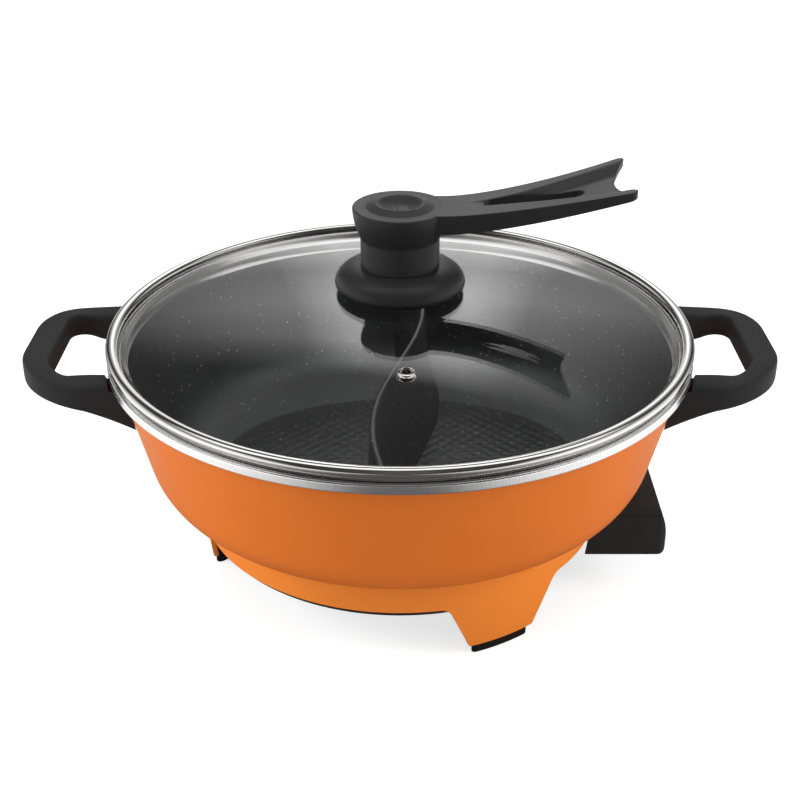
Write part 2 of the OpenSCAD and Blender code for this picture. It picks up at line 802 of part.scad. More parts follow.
// The control box's outer shape, drawn in by inset
module box_solid(inset) {
  z0 = box_floor_z + inset;
  z1 = box_top_z - inset;
  r = box_edge_r - min(inset, box_edge_r / 2);
  intersection() {
    rotate([90, 0, 0]) translate([0, 0, -box_w])
      linear_extrude(2 * box_w)
        polygon(concat(
          [[skirt_d / 3, z0]],
          arc(box_reach - inset - r, z0 + r, r, -90, 0, 5),
          [for (i = [0:8]) let (z = box_toe_z + (z1 - box_toe_z) * i / 8) [box_end_x(z) - inset, z]],
          [[skirt_d / 3, z1]]));
    linear_extrude(box_top_z + past)
      polygon(handle_plan(skirt_d / 3, box_w / 2 - inset, box_reach - inset, box_corner_r - inset / 2));
  }
}

// The space outside the skirt where the box's pieces may be
module clear_of_skirt() {
  difference() {
    children();
    rotate_extrude()
      polygon([[0, 0], [skirt_r(0) + seat_gap, 0], [skirt_r(skirt_top_z) + seat_gap, skirt_top_z],
        [skirt_r(skirt_top_z) + seat_gap, pan_rim_z], [0, pan_rim_z]]);
  }
}

// Places its children where screws join the cover to the tray
module at_box_screws() {
  for (s = [-1, 1])
    translate([boss_x, s * (box_w / 2 - boss_inset), box_floor_z])
      children();
}

module at_tongue_screws() {
  for (s = [-1, 1]) translate([tongue_boss_x, s * tongue_boss_y, box_floor_z]) children();
}

module dial_axis() {
  translate([0, 0, box_z]) children();
}

module inlet_box(gap, depth) {
  translate([inlet_x - inlet_w / 2 - gap, box_w / 2 - depth, box_z - inlet_h / 2 - gap])
    cube([inlet_w + 2 * gap, depth, inlet_h + 2 * gap]);
}

// A screw's hole through the box's floor
module floor_hole() {
  translate([0, 0, -past]) cylinder(d = box_screw_d + 4 * screw_fit, h = box_wall + 2 * past);
}

module control_tray() {
  color("#272729")
    difference() {
      union() {
        clear_of_skirt()
          difference() {
            box_solid(0);
            box_solid(box_wall);
          }
        intersection() {
          box_solid(0);
          dial_axis() translate([cup_x, 0, 0]) along_x(cup_r, box_reach);
        }
        translate([tongue_x, -tongue_w / 2, box_floor_z]) cube([tongue_l, tongue_w, box_wall]);
      }
      difference() {
        translate([0, -box_w, seam_z]) cube([2 * box_reach, 2 * box_w, box_cover_h + past]);
        dial_axis() along_x(cup_r, box_reach + past);
      }
      dial_axis() translate([pocket_x, 0, 0]) along_x(pocket_r, box_reach);
      dial_axis() along_x(bush_r + screw_fit, box_reach);
      inlet_box(seat_gap, box_wall + past);
      translate([0, past, 0]) inlet_box(seat_gap, box_wall + 2 * past);
      translate([cup_x, lamp_y, box_z]) along_x(lamp_r + screw_fit, box_reach);
      at_box_screws() floor_hole();
      at_tongue_screws() floor_hole();
    }
}

module control_cover() {
  color("#333335")
    difference() {
      union() {
        clear_of_skirt()
          intersection() {
            difference() {
              box_solid(0);
              box_solid(box_wall);
            }
            translate([0, -box_w, seam_z + seat_gap]) cube([2 * box_reach, 2 * box_w, box_cover_h]);
          }
        at_box_screws()
          translate([0, 0, box_wall])
            cylinder(r = screw_boss_r, h = box_top_z - box_floor_z - 1.5 * box_wall);
      }
      dial_axis() along_x(cup_r + seat_gap, box_reach + past);
      at_box_screws() cylinder(d = box_screw_d + 2 * screw_fit, h = boss_hole_l);
    }
}

module control_screws() {
  color("#8d9094") {
    at_box_screws() screw(box_screw_d, box_screw_l);
    at_tongue_screws() screw(box_screw_d, tongue_screw_l);
  }
}

module thermostat_body() {
  color("#c7bfae")
    translate([thermostat_x - thermostat_size.x, -thermostat_size.y / 2, box_z - thermostat_size.z / 2])
      cube(thermostat_size);
}

module thermostat_bush() {
  color("#b08d45")
    dial_axis()
      difference() {
        translate([thermostat_x, 0, 0]) along_x(bush_r, pocket_x - thermostat_x);
        translate([thermostat_x - past, 0, 0]) along_x(spindle_r + run_gap, bush_l + 3 * box_wall);
      }
}

module sensor_rod() {
  color("#b7babd")
    translate([heat_plate_r + seat_gap, 0, sensor_z])
      along_x(sensor_r, thermostat_x - thermostat_size.x - heat_plate_r - seat_gap);
}

module lamp_lens() {
  color("#b3231c")
    translate([lamp_x, lamp_y, box_z]) {
      along_x(lamp_r, box_end_x(box_z) + lamp_proud - lamp_x);
      along_x(lamp_r + 1, lamp_flange_t);
    }
}

module lamp_body() {
  color("#e6e2d6")
    translate([lamp_x - lamp_body_l, lamp_y, box_z]) along_x(lamp_r + 1, lamp_body_l);
}

module mains_inlet() {
  color("#1f1f21")
    difference() {
      union() {
        inlet_box(0, inlet_depth);
        translate([inlet_x - inlet_w / 2 - inlet_lip, box_w / 2, box_z - inlet_h / 2 - inlet_lip])
          cube([inlet_w + 2 * inlet_lip, inlet_lip, inlet_h + 2 * inlet_lip]);
      }
      translate([inlet_x - inlet_w / 2, inlet_back_y + inlet_back_t, box_z - inlet_h / 2])
        translate([inlet_wall, 0, inlet_wall])
          cube([inlet_w - 2 * inlet_wall, inlet_depth, inlet_h - 2 * inlet_wall]);
    }
}

module inlet_pins() {
  color("#c4a24c")
    for (i = [-1, 0, 1])
      translate([inlet_x + i * pin_pitch, inlet_back_y + inlet_back_t, box_z - (1 - abs(i)) * pin_drop])
        translate([-pin_size.x / 2, 0, -pin_size.z / 2])
          cube(pin_size);
}

module terminal_block() {
  color("#e6e2d6")
    translate([block_x, inlet_back_y - block_size.y, box_floor_z + box_wall])
      cube(block_size);
}

module heater_leads() {
  start_x = pin_end_x + 0.7 * lead_r;
  block_z = box_floor_z + box_wall + block_size.z + lead_r;
  block = [block_x + lead_r, inlet_back_y - block_size.y / 2, block_z];
  thermostat = [thermostat_x - 2 * lead_r, -thermostat_size.y / 2 - lead_r, box_z];
  color("#8e2b22") {
    rod([start_x, -pin_y, element_z], thermostat, lead_r);
    rod([start_x, pin_y, element_z], block, lead_r);
  }
}

module lid_glass() {
  edge = [for (i = [0:arc_steps]) insert_r + (glass_r - insert_r) * i / arc_steps];
  color("#9fb4b4")
    difference() {
      rotate_extrude()
        polygon(concat(
          [for (r = edge) [r, glass_under(r)]],
          [for (i = [arc_steps:-1:0]) [edge[i], glass_top(edge[i])]]));
      at_vent() translate([0, 0, -2 * glass_t]) cylinder(d = eyelet_d + 2 * screw_fit, h = 4 * glass_t);
    }
}

// Places its children on the glass at the vent, square to its surface
module at_vent() {
  rotate([0, 0, vent_angle])
    translate([vent_r, 0, glass_top(vent_r)])
      rotate([0, asin(vent_r / dome_r), 0])
        children();
}

module lid_ring() {
  r0 = glass_r - ring_w;
  lap_r = glass_r - ring_lap;
  foot_r = lid_r - bead_r;
  lip_r = cavity_r(seat_z - lid_lip_h) - seat_gap;
  glass_edge = [for (i = [0:4]) r0 + ring_w * i / 4];
  color("#d5d7d9")
    rotate_extrude()
      polygon(concat(
        [[lap_r, glass_top(lap_r) + glass_gap + lip_t]],
        arc(foot_r, bead_z + bead_r, bead_r, 90, -90),
        [[foot_r, seat_z], [cavity_r(seat_z) - seat_gap, seat_z], [lip_r, seat_z - lid_lip_h],
         [lip_r - 2 * lip_t, seat_z - lid_lip_h],
         [lip_r - 2 * lip_t, glass_under(r0) - glass_gap - 2 * lip_t],
         [r0, glass_under(r0) - glass_gap - 2 * lip_t]],
        [for (r = glass_edge) [r, glass_under(r) - glass_gap]],
        [[glass_r + glass_gap, glass_under(glass_r) - glass_gap],
         [glass_r + glass_gap, glass_top(glass_r) + glass_gap]],
        [for (r = [glass_r, lap_r]) [r, glass_top(r) + glass_gap]]));
}

module vent_eyelet() {
  color("#c9ccce")
    at_vent()
      difference() {
        union() {
          translate([0, 0, screw_fit]) cylinder(d = vent_d, h = eyelet_t);
          translate([0, 0, -glass_t - eyelet_t]) cylinder(d = eyelet_d, h = glass_t + 2 * eyelet_t);
          translate([0, 0, -glass_t - screw_fit - eyelet_t]) cylinder(d = vent_d, h = eyelet_t);
        }
        translate([0, 0, -2 * glass_t]) cylinder(d = vent_bore_d, h = 4 * glass_t);
      }
}

module knob_flange() {
  hole_r = screw_r + flange_room;
  top_r = stem_d / 2 + flange_room;
  foot_r = flange_d / 2 - flange_room / 2;
  color("#232325")
    rotate_extrude()
      polygon(concat(
        [for (i = [0:6]) let (r = hole_r + (foot_r - hole_r) * i / 6) [r, glass_top(r) + seat_gap]],
        [for (i = [0:arc_steps]) let (t = 90 * i / arc_steps)
          [top_r + (flange_d / 2 - top_r) * cos(t),
           crown_z + flange_brim + (flange_h - flange_brim) * sin(t)]],
        [[hole_r, flange_top_z]]));
}

// The arm's outline in plan: it widens to two prongs with a crescent notch between them
function arm_plan() =
  concat(
    [for (i = [0:arc_steps]) let (x = arm_reach * i / arc_steps) [x, -arm_half_w(x)]],
    [for (i = [1:arc_steps - 1]) let (y = arm_tip_w * (i / arc_steps - 0.5))
      [arm_reach - arm_notch * cos(180 * y / arm_tip_w), y]],
    [for (i = [arc_steps:-1:0]) let (x = arm_reach * i / arc_steps) [x, arm_half_w(x)]]);

// The slot's outline in plan: round ends, with sides that bow out to the middle
function slot_plan() =
  let (end_r = arm_slot_end_w / 2, near = arm_slot_start + end_r, run = arm_slot_l - arm_slot_end_w)
  let (bow = (arm_slot_w - arm_slot_end_w) / 2)
  let (side = [for (i = [1:arc_steps - 1]) let (u = i / arc_steps)
    [near + run * u, end_r + bow * sin(180 * u)]])
  concat(
    arc(near, 0, end_r, 270, 90), side, arc(near + run, 0, end_r, 90, -90),
    [for (i = [len(side) - 1:-1:0]) [side[i].x, -side[i].y]]);

module arm_side() {
  xs = [for (i = [0:arc_steps]) (arm_reach + past) * i / arc_steps];
  polygon(concat(
    [for (x = xs) [x, arm_top(x) - arm_thick(x)]],
    [for (i = [arc_steps:-1:0]) [xs[i], arm_top(xs[i])]]));
}

module knob_handle() {
  edge_r = 3;
  color("#232325")
    difference() {
      union() {
        rotate_extrude()
          polygon(concat(
            [[0, flange_top_z], [stem_d / 2, flange_top_z], [stem_d / 2, shoulder_z],
             [knob_top_d / 2, shoulder_z + shoulder_h]],
            arc(knob_top_d / 2 - edge_r, knob_top_z - edge_r, edge_r, 0, 90, 5),
            [[0, knob_top_z]]));
        intersection() {
          linear_extrude(knob_top_z + arm_rise + past) polygon(arm_plan());
          rotate([90, 0, 0]) translate([0, 0, -arm_tip_w]) linear_extrude(2 * arm_tip_w) arm_side();
        }
      }
      translate([0, 0, knob_top_z - cap_t]) cylinder(d = cap_d + 2 * screw_fit, h = cap_t + arm_rise);
      translate([0, 0, flange_top_z - past]) cylinder(r = screw_r + screw_fit, h = stem_h - cap_t + past);
      translate([0, 0, insert_z]) cylinder(r = insert_r + run_gap, h = knob_top_z - insert_z);
      linear_extrude(knob_top_z + 2 * arm_rise) polygon(slot_plan());
    }
}

module knob_cap() {
  top = cap_t + cap_rise;
  color("#2c2c2e")
    translate([0, 0, knob_top_z - cap_t + screw_fit])
      rotate_extrude()
        polygon(concat(
          [[0, 0], [cap_d / 2, 0], [cap_d / 2, top - 1], [cap_d / 2 - 1, top], [dish_r, top]],
          [for (i = [1:6]) let (u = 1 - i / 6) [dish_r * u, top - dish_h * (1 - u * u)]]));
}

module knob_insert() {
  color("#b08d45")
    translate([0, 0, insert_z])
      difference() {
        cylinder(r = insert_r, h = insert_l);
        translate([0, 0, -past]) cylinder(r = screw_r + screw_fit, h = insert_l + 2 * past);
      }
}

module knob_screw() {
  color("#a5a8ab")
    translate([0, 0, under_z - seat_gap - seal_t - washer_t]) screw(knob_screw_d, screw_l);
}

module knob_washer() {
  color("#b9bcbf")
    translate([0, 0, under_z - seat_gap - seal_t - washer_t])
      difference() {
        cylinder(r = washer_r, h = washer_t);
        translate([0, 0, -past]) cylinder(r = screw_r + screw_fit, h = washer_t + 2 * past);
      }
}

module knob_seal() {
  color("#4a4a4c")
    translate([0, 0, under_z - seat_gap - seal_t])
      difference() {
        cylinder(r = washer_r + 2, h = seal_t);
        translate([0, 0, -past]) cylinder(r = screw_r + screw_fit, h = seal_t + 2 * past);
      }
}

module dial_knob() {
  color("#3a3a3c")
    dial_axis()
      difference() {
        union() {
          translate([dial_x, 0, 0]) along_x(dial_r, dial_l);
          translate([dial_x, -dial_bar_w / 2, -dial_r + past])
            cube([dial_l + dial_bar_h, dial_bar_w, dial_d - 2 * past]);
        }
        translate([dial_x - past, 0, 0]) along_x(spindle_r + screw_fit, dial_l - 1);
      }
}

module dial_spindle() {
  color("#b9bcbf")
    dial_axis()
      translate([thermostat_x + seat_gap, 0, 0]) along_x(spindle_r, dial_x + dial_l / 2 - thermostat_x);
}

pan();
pan_divider();
heat_plate();
heating_element();
thermal_cutout();
pan_studs();
heat_shield();
base_skirt();
base_plate();
rubber_foot_rear();
rubber_foot_left();
rubber_foot_front();
base_screws();
right_handle();
left_handle();
handle_screws();
control_tray();
control_cover();
control_screws();
thermostat_body();
thermostat_bush();
sensor_rod();
lamp_lens();
lamp_body();
mains_inlet();
inlet_pins();
terminal_block();
heater_leads();
lid_glass();
lid_ring();
vent_eyelet();
knob_flange();
knob_handle();
knob_cap();
knob_insert();
knob_screw();
knob_washer();
knob_seal();
dial_knob();
dial_spindle();
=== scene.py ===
"""The electric hot pot's visual model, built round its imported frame.

Shapes are numpy grids in millimetres, in the frame's own axes: +Z up, the pan's axis at x = y = 0 and the
control box towards +X. They go into the meshes in metres. Materials are procedural, in Object coordinates.
"""

import json
import logging
import math
from dataclasses import dataclass
from enum import Enum, IntEnum

import bmesh
import bpy
import numpy as np
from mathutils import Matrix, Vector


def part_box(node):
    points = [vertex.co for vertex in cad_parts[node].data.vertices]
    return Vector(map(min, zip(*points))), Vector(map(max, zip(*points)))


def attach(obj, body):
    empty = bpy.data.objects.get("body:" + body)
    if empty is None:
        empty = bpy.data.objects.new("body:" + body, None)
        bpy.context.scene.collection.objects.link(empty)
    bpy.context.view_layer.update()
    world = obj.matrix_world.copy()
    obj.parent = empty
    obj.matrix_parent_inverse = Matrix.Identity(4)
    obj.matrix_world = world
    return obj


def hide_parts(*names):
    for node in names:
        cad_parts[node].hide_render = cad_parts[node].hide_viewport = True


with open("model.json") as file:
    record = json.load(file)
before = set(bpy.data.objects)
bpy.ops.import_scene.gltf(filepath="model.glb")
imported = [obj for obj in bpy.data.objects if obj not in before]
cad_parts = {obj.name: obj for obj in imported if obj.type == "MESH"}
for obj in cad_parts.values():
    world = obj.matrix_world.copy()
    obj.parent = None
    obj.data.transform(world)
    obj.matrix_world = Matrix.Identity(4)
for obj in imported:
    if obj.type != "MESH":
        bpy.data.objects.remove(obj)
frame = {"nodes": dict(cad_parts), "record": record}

LOG = logging.getLogger("hot_pot")
MM = 0.001
WELD = 2e-6
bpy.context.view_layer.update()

UNIT = (0.0, 1.0)
WHITE = (1.0, 1.0, 1.0, 1.0)
FLIP_Y = np.array([1.0, -1.0])

Points = np.ndarray
Colour = tuple[float, float, float]
Rgba = tuple[float, float, float, float]
Span = tuple[float, float]
Socket = bpy.types.NodeSocket
Node = bpy.types.Node
Material = bpy.types.Material


class Body(str, Enum):
    """The frame's moving bodies."""

    COOKER = "cooker"
    LID = "lid"
    DIAL = "dial"


class Slot(str, Enum):
    """The record's material slots that the pieces take their finish from."""

    PAN = "pan_aluminium"
    NONSTICK = "nonstick"
    SKIRT = "skirt_orange"
    BLACK = "black_plastic"
    POLISHED = "polished_steel"
    STEEL = "plain_steel"
    ALUMINIUM = "bare_aluminium"
    GLASS = "tempered_glass"
    RUBBER = "black_rubber"
    BRASS = "brass"
    SHEATH = "heater_sheath"
    CREAM = "cream_plastic"
    LENS = "red_lens"
    LEAD = "lead_sleeve"


# Formulas that the shapes share


def node_box(node: str) -> tuple[list[float], list[float]]:
    """Lowest and highest corner of a frame node, in millimetres."""
    low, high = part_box(node)
    return [float(part) / MM for part in low], [float(part) / MM for part in high]


def smoothstep(start: float, end: float, value: Points) -> Points:
    """Rises from 0 at start to 1 at end as 3t^2 - 2t^3."""
    share = np.clip((value - start) / (end - start), 0.0, 1.0)
    return share * share * (3.0 - 2.0 * share)


def ring_angles(count: int) -> Points:
    """Angles of a full turn, evenly spaced, the last one short of the first."""
    return np.linspace(0.0, 2.0 * math.pi, count, endpoint=False)


def fillet_line(corners: list[tuple[float, float]], radii: list[float], steps: int = 6) -> Points:
    """Rounds every inner corner of an open line.

    At a corner with half angle h, the arc of radius r starts r / tan(h) along each side, and its centre lies
    r / sin(h) along the bisector. The arc is a spherical interpolation between its two end radii.

    Args:
        corners: the line's points, as pairs.
        radii: one radius for each point but the first and the last.
        steps: pieces in each arc.

    Returns:
        The rounded line, as an array of pairs.
    """
    line = np.asarray(corners, float)
    radius = np.asarray(radii, float)[:, None]
    middle = line[1:-1]
    back = line[:-2] - middle
    ahead = line[2:] - middle
    back /= np.linalg.norm(back, axis=1, keepdims=True)
    ahead /= np.linalg.norm(ahead, axis=1, keepdims=True)
    half = 0.5 * np.arccos(np.clip((back * ahead).sum(axis=1, keepdims=True), -1.0, 1.0))
    bisector = back + ahead
    bisector /= np.linalg.norm(bisector, axis=1, keepdims=True)
    centre = middle + bisector * radius / np.sin(half)
    first = middle + back * radius / np.tan(half) - centre
    last = middle + ahead * radius / np.tan(half) - centre
    sweep = (math.pi - 2.0 * half)[:, None]
    share = np.linspace(0.0, 1.0, steps + 1)[None, :, None]
    turned = np.sin((1.0 - share) * sweep) * first[:, None] + np.sin(share * sweep) * last[:, None]
    arcs = centre[:, None] + turned / np.sin(sweep)
    return hold_ends(np.vstack([line[:1], arcs.reshape(-1, 2), line[-1:]]))


def hold_ends(line: Points, hold: float = 0.25) -> Points:
    """Adds a point close to each end of a line's long pieces, so that they are shaded flat."""
    step = np.diff(line, axis=0)
    length = np.linalg.norm(step, axis=1)
    inset = step * (hold / np.maximum(length, 1e-9))[:, None]
    pieces = np.stack([line[:-1], line[:-1] + inset, line[1:] - inset], axis=1)
    long = length > 8.0 * hold
    keep = np.stack([np.full(len(length), True), long, long], axis=1)
    return np.vstack([pieces[keep], line[-1:]])


def arc(x: float, y: float, radius: float, start: float, end: float, count: int) -> Points:
    """Points on an arc round (x, y), from one angle to another in degrees."""
    angle = np.radians(np.linspace(start, end, count))
    return np.stack([x + radius * np.cos(angle), y + radius * np.sin(angle)], axis=1)


def revolve(profile: Points, steps: int) -> Points:
    """Carries a profile of (radius, height) pairs round the Z axis.

    Returns:
        A grid of points, one row for each angle.
    """
    angle = ring_angles(steps)[:, None]
    radius, height = profile[None, :, 0], profile[None, :, 1]
    return np.stack([radius * np.cos(angle), radius * np.sin(angle), height + 0.0 * angle], axis=-1)


def revolve_x(profile: Points, steps: int, height: float, across: float = 0.0) -> Points:
    """Carries a profile of (x, radius) pairs round a line along X at the given height and y."""
    angle = ring_angles(steps)[:, None]
    along, radius = profile[None, :, 0], profile[None, :, 1]
    return np.stack(
        [along + 0.0 * angle, across + radius * np.cos(angle), height + radius * np.sin(angle)], axis=-1)


def superellipse(count: int, power: float) -> Points:
    """A closed outline on which |u|^power + |v|^power = 1, as (u, v) pairs."""
    angle = ring_angles(count)
    cosine, sine = np.cos(angle), np.sin(angle)
    share = 2.0 / power
    return np.stack(
        [np.sign(cosine) * np.abs(cosine) ** share, np.sign(sine) * np.abs(sine) ** share], axis=1)


def close_ends(rows: Points) -> Points:
    """Adds a row at each end of a grid in which every point is that end's middle, so the tube is closed."""
    first = np.broadcast_to(rows[:1].mean(axis=1, keepdims=True), rows[:1].shape)
    last = np.broadcast_to(rows[-1:].mean(axis=1, keepdims=True), rows[-1:].shape)
    return np.concatenate([first, rows, last])


# Meshes


@dataclass
class Patch:
    """A grid of points in millimetres that becomes quads.

    Args:
        points: rows by columns by three.
        wrap_rows: the last row joins the first.
        wrap_columns: the last column joins the first.
        finish: index of the patch's material.
    """

    points: Points
    wrap_rows: bool = False
    wrap_columns: bool = False
    finish: int = 0

    def quads(self, offset: int) -> np.ndarray:
        """Corner indices of each quad, counted from offset."""
        rows, columns = self.points.shape[:2]
        row = np.arange(rows if self.wrap_rows else rows - 1)[:, None]
        column = np.arange(columns if self.wrap_columns else columns - 1)[None, :]
        next_row, next_column = (row + 1) % rows, (column + 1) % columns
        corners = [
            row * columns + column,
            next_row * columns + column,
            next_row * columns + next_column,
            row * columns + next_column,
        ]
        return np.stack(corners, axis=-1).reshape(-1, 4) + offset


def spin(profile: Points, steps: int, finish: int = 0) -> Patch:
    """A patch made by carrying a profile of (radius, height) pairs round the Z axis."""
    return Patch(revolve(profile, steps), wrap_rows=True, finish=finish)


def tube(rows: Points) -> Patch:
    """A patch made of closed rows, with both ends closed."""
    return Patch(close_ends(rows), wrap_columns=True)


@dataclass
class Dress:
    """How a piece is finished and where it belongs.

    Args:
        body: the body that it rides on.
        slot: the record's slot that its finish comes from; not used.
        materials: its materials, in the order of the patches' finish indices.
        stands_for: the frame nodes that it replaces.
        bevel: width of the rounding on its sharp edges, in millimetres.
        sharp: angle in degrees past which an edge stays sharp.
    """

    body: Body
    slot: Slot
    materials: list[Material]
    stands_for: tuple[str, ...] = ()
    bevel: float = 0.0
    sharp: float = 38.0


def put_on_stage(name: str, mesh: bpy.types.Mesh) -> bpy.types.Object:
    """Links a new object with this mesh to the scene, at the origin."""
    obj = bpy.data.objects.new(name, mesh)
    bpy.context.scene.collection.objects.link(obj)
    return obj


def finish_piece(name: str, mesh: bpy.types.Mesh, dress: Dress) -> None:
    """Shades a mesh, gives it its materials and edge rounding, and fixes it to its body.

    Args:
        name: the piece's name.
        mesh: its welded mesh, in metres.
        dress: its finish and place.
    """
    for material in dress.materials:
        mesh.materials.append(material)
    mesh.shade_smooth()
    mesh.set_sharp_from_angle(angle=math.radians(dress.sharp))
    obj = put_on_stage(name, mesh)
    if dress.bevel:
        rounding = obj.modifiers.new("Edge rounding", "BEVEL")
        rounding.width = dress.bevel * MM
        rounding.segments = 3
        rounding.limit_method = "ANGLE"
        rounding.angle_limit = math.radians(dress.sharp)
        rounding.miter_outer = "MITER_ARC"
    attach(obj, dress.body.value)
    if dress.stands_for:
        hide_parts(*dress.stands_for)
    LOG.info("%s: %d faces on %s", name, len(mesh.polygons), dress.body.value)


def build_piece(name: str, patches: list[Patch], dress: Dress) -> None:
    """Makes one piece from its patches, welds their shared edges and turns the faces outwards."""
    counts = [patch.points.shape[0] * patch.points.shape[1] for patch in patches]
    offsets = np.concatenate([[0], np.cumsum(counts)[:-1]])
    points = np.concatenate([patch.points.reshape(-1, 3) for patch in patches]) * MM
    groups = [patch.quads(int(offset)) for patch, offset in zip(patches, offsets)]
    quads = np.concatenate(groups)
    finishes = np.concatenate([np.full(len(group), patch.finish) for group, patch in zip(groups, patches)])
    mesh = bpy.data.meshes.new(name)
    mesh.vertices.add(len(points))
    mesh.vertices.foreach_set("co", points.ravel())
    mesh.loops.add(quads.size)
    mesh.loops.foreach_set("vertex_index", quads.ravel().astype(np.int32))
    mesh.polygons.add(len(quads))
    mesh.polygons.foreach_set("loop_start", np.arange(0, quads.size, 4, dtype=np.int32))
    mesh.polygons.foreach_set("material_index", finishes.astype(np.int32))
    mesh.update(calc_edges=True)
    work = bmesh.new()
    work.from_mesh(mesh)
    bmesh.ops.remove_doubles(work, verts=work.verts, dist=WELD)
    bmesh.ops.dissolve_degenerate(work, edges=work.edges, dist=WELD / 10.0)
    bmesh.ops.recalc_face_normals(work, faces=work.faces)
    work.to_mesh(mesh)
    work.free()
    finish_piece(name, mesh, dress)


def soften_node(node: str, name: str, dress: Dress) -> None:
    """Makes a piece from a frame node: a copy with its flat faces joined up, whose edges are then rounded."""
    mesh = frame["nodes"][node].data.copy()
    mesh.name = name
    mesh.materials.clear()
    work = bmesh.new()
    work.from_mesh(mesh)
    bmesh.ops.remove_doubles(work, verts=work.verts, dist=WELD)
    bmesh.ops.dissolve_limit(work, angle_limit=math.radians(0.5), verts=work.verts, edges=work.edges)
    work.to_mesh(mesh)
    work.free()
    finish_piece(name, mesh, dress)


# Finishes


class Tree:
    """Adds nodes to one shader tree and wires them."""

    def __init__(self, tree: bpy.types.NodeTree) -> None:
        """Keeps the tree to work on."""
        self.tree = tree

    def add(self, kind: str, **settings: object) -> Node:
        """A new node of this kind, with these properties set."""
        node = self.tree.nodes.new(kind)
        for key, value in settings.items():
            setattr(node, key, value)
        return node

    def feed(self, source: object, socket: Socket) -> None:
        """Links a socket to another, or sets a plain value on it."""
        if isinstance(source, Socket):
            self.tree.links.new(source, socket)
        else:
            socket.default_value = source

    def math(self, operation: str, first: object, second: object = 0.0) -> Socket:
        """A Math node's result."""
        node = self.add("ShaderNodeMath", operation=operation)
        self.feed(first, node.inputs[0])
        self.feed(second, node.inputs[1])
        return node.outputs[0]

    def times(self, first: object, second: object) -> Socket:
        """Two values multiplied."""
        return self.math("MULTIPLY", first, second)

    def axes(self, vector: Socket) -> tuple[Socket, ...]:
        """The X, Y and Z of a vector."""
        parts = self.add("ShaderNodeSeparateXYZ")
        self.feed(vector, parts.inputs["Vector"])
        return tuple(parts.outputs[axis] for axis in "XYZ")

    def remap(self, value: object, old: Span, new: Span) -> Socket:
        """Carries a value from one range to another, held at its ends."""
        node = self.add("ShaderNodeMapRange")
        self.feed(value, node.inputs["Value"])
        node.inputs["From Min"].default_value, node.inputs["From Max"].default_value = old
        node.inputs["To Min"].default_value, node.inputs["To Max"].default_value = new
        return node.outputs["Result"]

    def blend(self, share: object, first: object, second: object) -> Socket:
        """A colour between two colours."""
        node = self.add("ShaderNodeMix", data_type="RGBA")
        self.feed(share, node.inputs[0])
        self.feed(first, node.inputs[6])
        self.feed(second, node.inputs[7])
        return node.outputs[2]

    def bump(self, height: object, strength: float, distance: float) -> Socket:
        """A normal bent by a height, where distance is in millimetres."""
        node = self.add("ShaderNodeBump")
        node.inputs["Strength"].default_value = strength
        node.inputs["Distance"].default_value = distance * MM
        self.feed(height, node.inputs["Height"])
        return node.outputs["Normal"]

    def place(self) -> Socket:
        """The piece's own coordinates, in metres."""
        return self.add("ShaderNodeTexCoord").outputs["Object"]

    def group(self, shared: bpy.types.NodeTree, **values: float) -> Node:
        """A shared effect, with its own values."""
        node = self.add("ShaderNodeGroup")
        node.node_tree = shared
        for key, value in values.items():
            node.inputs[key].default_value = value
        return node


def rgba(colour: Colour, shade: float = 1.0) -> Rgba:
    """A colour with full alpha, made lighter or darker by shade."""
    return tuple(min(1.0, part * shade) for part in colour) + (1.0,)


def new_group(
    name: str, inputs: dict[str, float], outputs: list[str],
) -> tuple[bpy.types.NodeTree, Tree, Node, Node]:
    """An empty shader group with these value sockets.

    Returns:
        The group, its node builder, and its input and output nodes.
    """
    group = bpy.data.node_groups.new(name, "ShaderNodeTree")
    for key, value in inputs.items():
        socket = group.interface.new_socket(key, in_out="INPUT", socket_type="NodeSocketFloat")
        socket.default_value = value
    for key in outputs:
        group.interface.new_socket(key, in_out="OUTPUT", socket_type="NodeSocketFloat")
    tree = Tree(group)
    return group, tree, tree.add("NodeGroupInput"), tree.add("NodeGroupOutput")


def grain_effect() -> bpy.types.NodeTree:
    """Moulded grain: fine noise for height, and broad noise for patches where the surface was handled."""
    scales = {"Fineness": 900.0, "Patches": 16.0}
    group, tree, given, made = new_group("Moulded grain", scales, ["Grain", "Patch"])
    place = tree.place()

    def noise(scale: str, detail: float) -> Socket:
        """Noise at one of the group's scales."""
        node = tree.add("ShaderNodeTexNoise")
        node.inputs["Detail"].default_value = detail
        tree.feed(place, node.inputs["Vector"])
        tree.feed(given.outputs[scale], node.inputs["Scale"])
        return node.outputs["Fac"]

    tree.feed(noise("Fineness", 3.0), made.inputs["Grain"])
    tree.feed(tree.remap(noise("Patches", 4.0), (0.3, 0.7), UNIT), made.inputs["Patch"])
    return group


def fleck_effect() -> bpy.types.NodeTree:
    """Flecks: a dot in some cells of a Voronoi pattern, each of its own size."""
    group, tree, given, made = new_group("Flecks", {"Fineness": 130.0, "Share": 0.3, "Size": 0.2}, ["Fleck"])
    cells = tree.add("ShaderNodeTexVoronoi")
    tree.feed(tree.place(), cells.inputs["Vector"])
    tree.feed(given.outputs["Fineness"], cells.inputs["Scale"])
    parts = tree.add("ShaderNodeSeparateColor")
    tree.feed(cells.outputs["Color"], parts.inputs["Color"])
    size = tree.times(parts.outputs["Green"], given.outputs["Size"])
    dot = tree.math("LESS_THAN", cells.outputs["Distance"], size)
    kept = tree.math("LESS_THAN", parts.outputs["Red"], given.outputs["Share"])
    tree.feed(tree.times(dot, kept), made.inputs["Fleck"])
    return group


GRAIN = grain_effect()
FLECKS = fleck_effect()


